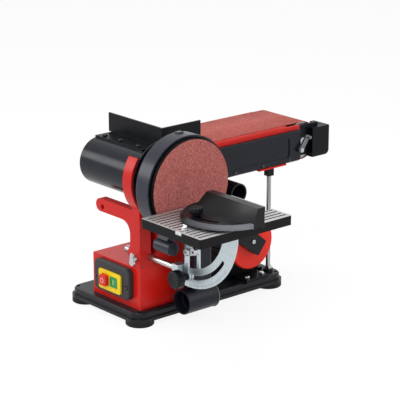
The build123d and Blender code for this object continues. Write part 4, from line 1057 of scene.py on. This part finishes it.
@dataclass
class BaseUnit:
    """Base tray, feet, casting, post and switch."""

    switch_screws: tuple[Place, ...] = ((-151.0, -53.5, 58.0), (-151.0, 24.5, 58.0))
    well: Outline = ((2.4, 0.0), (4.0, 0.0), (3.9, 0.15), (2.5, 0.15))
    post: Place = (139.0, -67.5, 29.0)
    stop_face: Place = (-161.4, -4.5, 60.0)
    stop_ring: Outline = ((2.9, 0), (4.2, 0), (4.2, 0.3), (2.9, 0.3))
    start_face: Place = (-154.5, -24.75, 60.0)
    start_stroke: Place = (0.5, 1.4, 8.0)

    def build(self) -> None:
        """Makes the screws, a painted shade ring in the near one's well, the post's nut and the marks on the
        buttons.
        """
        ScrewSet("switch_screw_heads", self.switch_screws, LEFT, radius=2.2, height=0.8,
                 finish=BLACKENED_SCREW, body="base", node="switch_screws", recess=Recess.CROSS, drive=1.4,
                 depth=0.5, chamfer=0.3).build()
        # Painted shade: a near-black ring laid on the floor of the near screw's well.
        well = turned("screw_well_painted_shade", self.well, self.switch_screws[0], LEFT, hollow=True)
        keep_piece("screw_well_painted_shade", well, WELL_SHADE_PAINT, "base", "black_plastic")
        ScrewSet("post_nut", (self.post,), UP, radius=7.0, height=5.0, finish=PLATED_SCREW, body="base",
                 recess=Recess.THROUGH, sides=6, drive=3.8, depth=6.0, chamfer=0.8).build()
        ring = turned("stop_mark", self.stop_ring, self.stop_face, LEFT, hollow=True)
        keep_piece("stop_mark", ring, STOP_MARK, "stop_button", "red_plastic")
        stroke = bar("start_mark", self.start_stroke, self.start_face)
        keep_piece("start_mark", stroke, START_MARK, "start_button", "green_plastic")

    def dress(self) -> None:
        """Gives the nodes their finishes."""
        dress(BASE_ENAMEL, "base_tray")
        dress(BLACK_ENAMEL, "motor_cradle", "post_cap")
        dress(BLACK_RUBBER, "rubber_feet")
        dress(CAST_ENAMEL, "frame_casting")
        dress(RED_ENAMEL, "pedestal")
        dress(BLACK_ABS, "cable_gland")
        dress(SWITCH_ABS, "switch_box")
        dress(YELLOW_PLATE, "switch_block")
        dress(STOP_RED, "stop_button")
        dress(START_GREEN, "start_button")
        dress(PLATED_SCREW, "wing_screw")
        dress(DRAWN_POST, "stay_post")


@dataclass
class DriveUnit:
    """Motor, drive case, shaft, disc and guard."""

    case_screws: tuple[Place, ...] = ((83.15, -92.0, 93.38), (-53.36, -92.0, 201.05))
    guard_screws: tuple[Place, ...] = ((-139.61, -110.3, 249.92), (-133.82, -110.3, 205.97),
                                       (-96.18, -110.3, 185.53))
    motor_bolts: tuple[Place, ...] = ((55.3, -48.0, 30.0), (55.3, 18.0, 30.0), (129.7, -48.0, 30.0),
                                      (129.7, 18.0, 30.0), (76.5, -85.0, 30.0), (108.5, -85.0, 30.0))
    fin: Place = (2.8, 2.2, 102.0)
    fins: BarArc = BarArc(count=21, first=-40, step=13, radius=39.0, centre=(92.5, -15.0, 86.0), axis=NEAR,
                          zero=RIGHT)
    chute_end: Place = (-24.5, -112.0, 35.0)
    highlight_ring: Outline = ((18.5, 0), (20.6, 0), (20.9, 0.6), (20.6, 1.4), (18.5, 1.4))

    def build(self) -> None:
        """Makes the screws of case, guard and motor, a pale painted highlight ring on the tube's end and the
        cooling fins.
        """
        ScrewSet("case_screw_heads", self.case_screws, NEAR, radius=3.5, height=2.5, finish=PLATED_SCREW,
                 body="base", node="case_screws", recess=Recess.HEX, drive=1.7, depth=1.3).build()
        ScrewSet("guard_screw_heads", self.guard_screws, NEAR, radius=4.0, height=2.5, finish=PLATED_SCREW,
                 body="base", recess=Recess.HEX, drive=2.0, depth=1.3).build()
        ScrewSet("motor_bolt_heads", self.motor_bolts, UP, radius=4.5, height=4.0, finish=PLATED_SCREW,
                 body="base", node="motor_bolts", sides=6, chamfer=0.7).build()
        # Painted highlight: a pale ring on the tube's end stands in for the light along its edge.
        highlight_ring = turned("chute_edge_highlight", self.highlight_ring, self.chute_end, LEFT, hollow=True)
        keep_piece("chute_edge_highlight", highlight_ring, CHUTE_EDGE_HIGHLIGHT, "base", "black_plastic")
        fins = RingTree().run(bar("motor_fins", self.fin, edge=0.4), POWDER_BLACK, self.fins.sizes())
        keep_piece("motor_fins", fins, POWDER_BLACK, "base", "black_paint")

    def dress(self) -> None:
        """Gives the nodes their finishes."""
        dress(SHIELD_ENAMEL, "motor_shield")
        dress(POWDER_BLACK, "motor_housing")
        dress(BLACK_ABS, "fan_cover", "drive_case_back", "drive_case_cover")
        dress(CHUTE_ABS, "dust_chute")
        dress(GUARD_ABS, "disc_guard")
        dress(DISC_ENAMEL, "disc_plate")
        dress(BLACK_RUBBER, "toothed_belt")
        dress(TURNED_STEEL, "motor_rotor", "motor_stator", "motor_pulley", "driven_pulley", "main_shaft",
              "front_bearing", "far_bearing")
        dress(DISC_GRIT, "abrasive_disc")


@dataclass
class BeltUnit:
    """Belt arm with belt, hood, fence, cover and idler end."""

    drum: Place = (-94.5, -9.5, 233.5)
    span: float = 313.5
    belt_radius: float = 32.15
    belt_width: float = 100.0
    belt_thickness: float = 0.7
    cover_screws: tuple[Place, ...] = ((60.0, -73.5, 210.0), (120.0, -73.5, 210.0), (180.0, -73.5, 210.0))
    fence_bolts: tuple[Place, ...] = ((-104.5, -30.0, 274.5), (-104.5, 15.0, 274.5), (-104.5, 55.0, 274.5))
    tracking_seat: Place = (270.5, -47.0, 233.5)
    tracking_profile: Outline = ((0, 0), (7.2, 0), (8.2, 0.8), (8.5, 2.0), (8.5, 11.4), (8.0, 12.7),
                                 (6.8, 13.4), (5.2, 13.5), (4.8, 12.9), (0, 12.9))

    def build(self) -> None:
        """Makes the sanding belt, the screws and the tracking knob."""
        sizes = {"Radius": self.belt_radius * MM, "Span": self.span * MM, "Width": self.belt_width * MM,
                 "Thickness": self.belt_thickness * MM, "Centre": metres(self.drum)}
        loop = BeltTree().run(dots("grit_belt", (self.drum,)), BELT_GRIT, sizes)
        keep_piece("grit_belt", loop, BELT_GRIT, "belt_arm", "abrasive", "sanding_belt")
        ScrewSet("cover_screw_heads", self.cover_screws, NEAR, radius=3.5, height=1.5, finish=BLACKENED_SCREW,
                 body="belt_arm", node="cover_screws", recess=Recess.CROSS, drive=1.9, depth=0.8).build()
        ScrewSet("fence_bolt_heads", self.fence_bolts, UP, radius=4.2, height=3.0, finish=BLACKENED_SCREW,
                 body="belt_arm", node="fence_bolts", sides=6, chamfer=0.6).build()
        knob = turned("tracking_grip", self.tracking_profile, self.tracking_seat, RIGHT, lobes=8, depth=0.055)
        keep_piece("tracking_grip", knob, BLACK_ABS, "tracking_knob", "black_plastic", "tracking_knob")

    def dress(self) -> None:
        """Gives the nodes their finishes."""
        dress(RED_ENAMEL, "arm_frame", "rest_bracket")
        dress(BLACK_GLOSS_ABS, "arm_side_cover", "drum_hood")
        dress(BLACK_ABS, "belt_dust_port")
        dress(BLACK_ENAMEL, "work_fence", "idler_yoke")
        dress(TURNED_ALUMINIUM, "drive_drum", "idler_roller")
        dress(TURNED_STEEL, "idler_axle", "lever_pin")
        dress(DULL_ZINC, "tension_lever")


@dataclass
class TableUnit:
    """Tilting table with its support and the mitre gauge."""

    quadrant_bolts: tuple[Place, ...] = ((-114.6, -195.0, 186.3), (-114.6, -213.0, 186.3))
    bracket_bolts: tuple[Place, ...] = ((-118.5, -181.0, 144.5), (-118.5, -164.0, 140.0))
    tilt_marks: BarArc = BarArc(count=27, first=92, step=2, radius=108.0, centre=(-114.6, -161.0, 193.5),
                                axis=LEFT, zero=FAR, long_every=5, long_share=1.6)
    tilt_stroke: Place = (3.0, 0.5, 0.2)
    mitre_marks: BarArc = BarArc(count=27, first=115, step=5, radius=60.5, centre=(-100.5, -233.5, 214.35),
                                 axis=UP, zero=RIGHT, long_every=5, long_share=1.5)
    mitre_stroke: Place = (2.6, 0.5, 0.2)
    stroke_edge: float = 0.04
    tilt_seat: Place = (-118.8, -161.0, 98.5)
    tilt_profile: Outline = ((0, 0), (5.5, 0), (5.5, 11.6), (9.5, 12.3), (13.0, 12.7), (14.1, 13.7),
                             (14.5, 15.4), (14.5, 23.2), (14.0, 24.8), (12.8, 25.8), (11.0, 26.2),
                             (10.4, 25.6), (0, 25.6))
    stud_profile: Outline = ((0, 0), (3, 0), (3, 7.1), (6, 7.1), (6, 10.7), (3, 10.7), (3, 12.2),
                             (2.5, 12.7), (0, 12.7))
    mitre_seat: Place = (-143.5, -213.5, 214.7)
    mitre_profile: Outline = ((0, 0), (5.5, 0), (5.5, 2.4), (8.4, 2.8), (9.5, 3.7), (9.9, 5.2),
                              (9.9, 10.8), (9.4, 12.3), (8.0, 13.2), (5.0, 13.6), (0, 13.6))
    pointer_side: Outline = ((-193.0, 205.7), (-176.0, 205.7), (-176.0, 206.9), (-181.2, 206.9),
                             (-181.2, 213.2), (-182.6, 213.2), (-182.6, 206.9), (-193.0, 206.9))
    pointer_y: tuple[float, float] = (-238.0, -229.0)

    def build(self) -> None:
        """Makes bolts, scale marks, knobs and the bar's pointer."""
        ScrewSet("quadrant_bolt_heads", self.quadrant_bolts, LEFT, radius=4.0, height=3.5,
                 finish=PLATED_SCREW, body="table", node="quadrant_bolts", sides=6, chamfer=0.6).build()
        ScrewSet("bracket_bolt_heads", self.bracket_bolts, LEFT, radius=6.5, height=4.5, finish=PLATED_SCREW,
                 body="table_slide", node="bracket_bolts", recess=Recess.HEX, drive=3.3, depth=2.2,
                 chamfer=1.5).build()
        self.scales()
        self.knobs()
        pointer = strip("bar_pointer", self.pointer_side, *self.pointer_y)
        keep_piece("bar_pointer", pointer, PLATED_SCREW, "mitre_bar", "steel")

    def scales(self) -> None:
        """Makes the degree marks of quadrant and mitre gauge."""
        marks = RingTree()
        stroke = bar("quadrant_scale", self.tilt_stroke, edge=self.stroke_edge)
        scale = marks.run(stroke, STAMPED_MARK, self.tilt_marks.sizes())
        keep_piece("quadrant_scale", scale, STAMPED_MARK, "table", "zinc_plate")
        stroke = bar("mitre_scale", self.mitre_stroke, edge=self.stroke_edge)
        scale = marks.run(stroke, STAMPED_MARK, self.mitre_marks.sizes())
        keep_piece("mitre_scale", scale, STAMPED_MARK, "mitre_head", "black_paint")

    def knobs(self) -> None:
        """Makes the tilt lock's grip and stud, and the mitre gauge's knob."""
        grip = turned("tilt_grip", self.tilt_profile, self.tilt_seat, LEFT, lobes=12, depth=0.028)
        keep_piece("tilt_grip", grip, BLACK_ABS, "tilt_lock_knob", "black_plastic", "tilt_lock_knob")
        stud = turned("tilt_stud", self.stud_profile, self.tilt_seat, RIGHT, steps=48)
        keep_piece("tilt_stud", stud, TURNED_STEEL, "tilt_lock_knob", "steel")
        knob = turned("mitre_grip", self.mitre_profile, self.mitre_seat, UP, lobes=10, depth=0.055)
        keep_piece("mitre_grip", knob, BLACK_ABS, "mitre_knob", "black_plastic", "mitre_knob")

    def dress(self) -> None:
        """Gives the nodes their finishes."""
        dress(TABLE_METAL, "work_table")
        dress(ZINC_SHEET, "quadrant", "table_bracket")
        dress(DRAWN_BAR, "support_bar")
        dress(TURNED_STEEL, "tilt_pin")
        dress(PLANED_BAR, "mitre_bar")
        dress(MITRE_ENAMEL, "mitre_head")


def main() -> None:
    """Builds and dresses every unit."""
    logging.basicConfig(level=logging.INFO)
    Studio().build()
    for unit in (BaseUnit(), DriveUnit(), BeltUnit(), TableUnit()):
        unit.build()
        unit.dress()


if __name__ == "__main__":
    main()
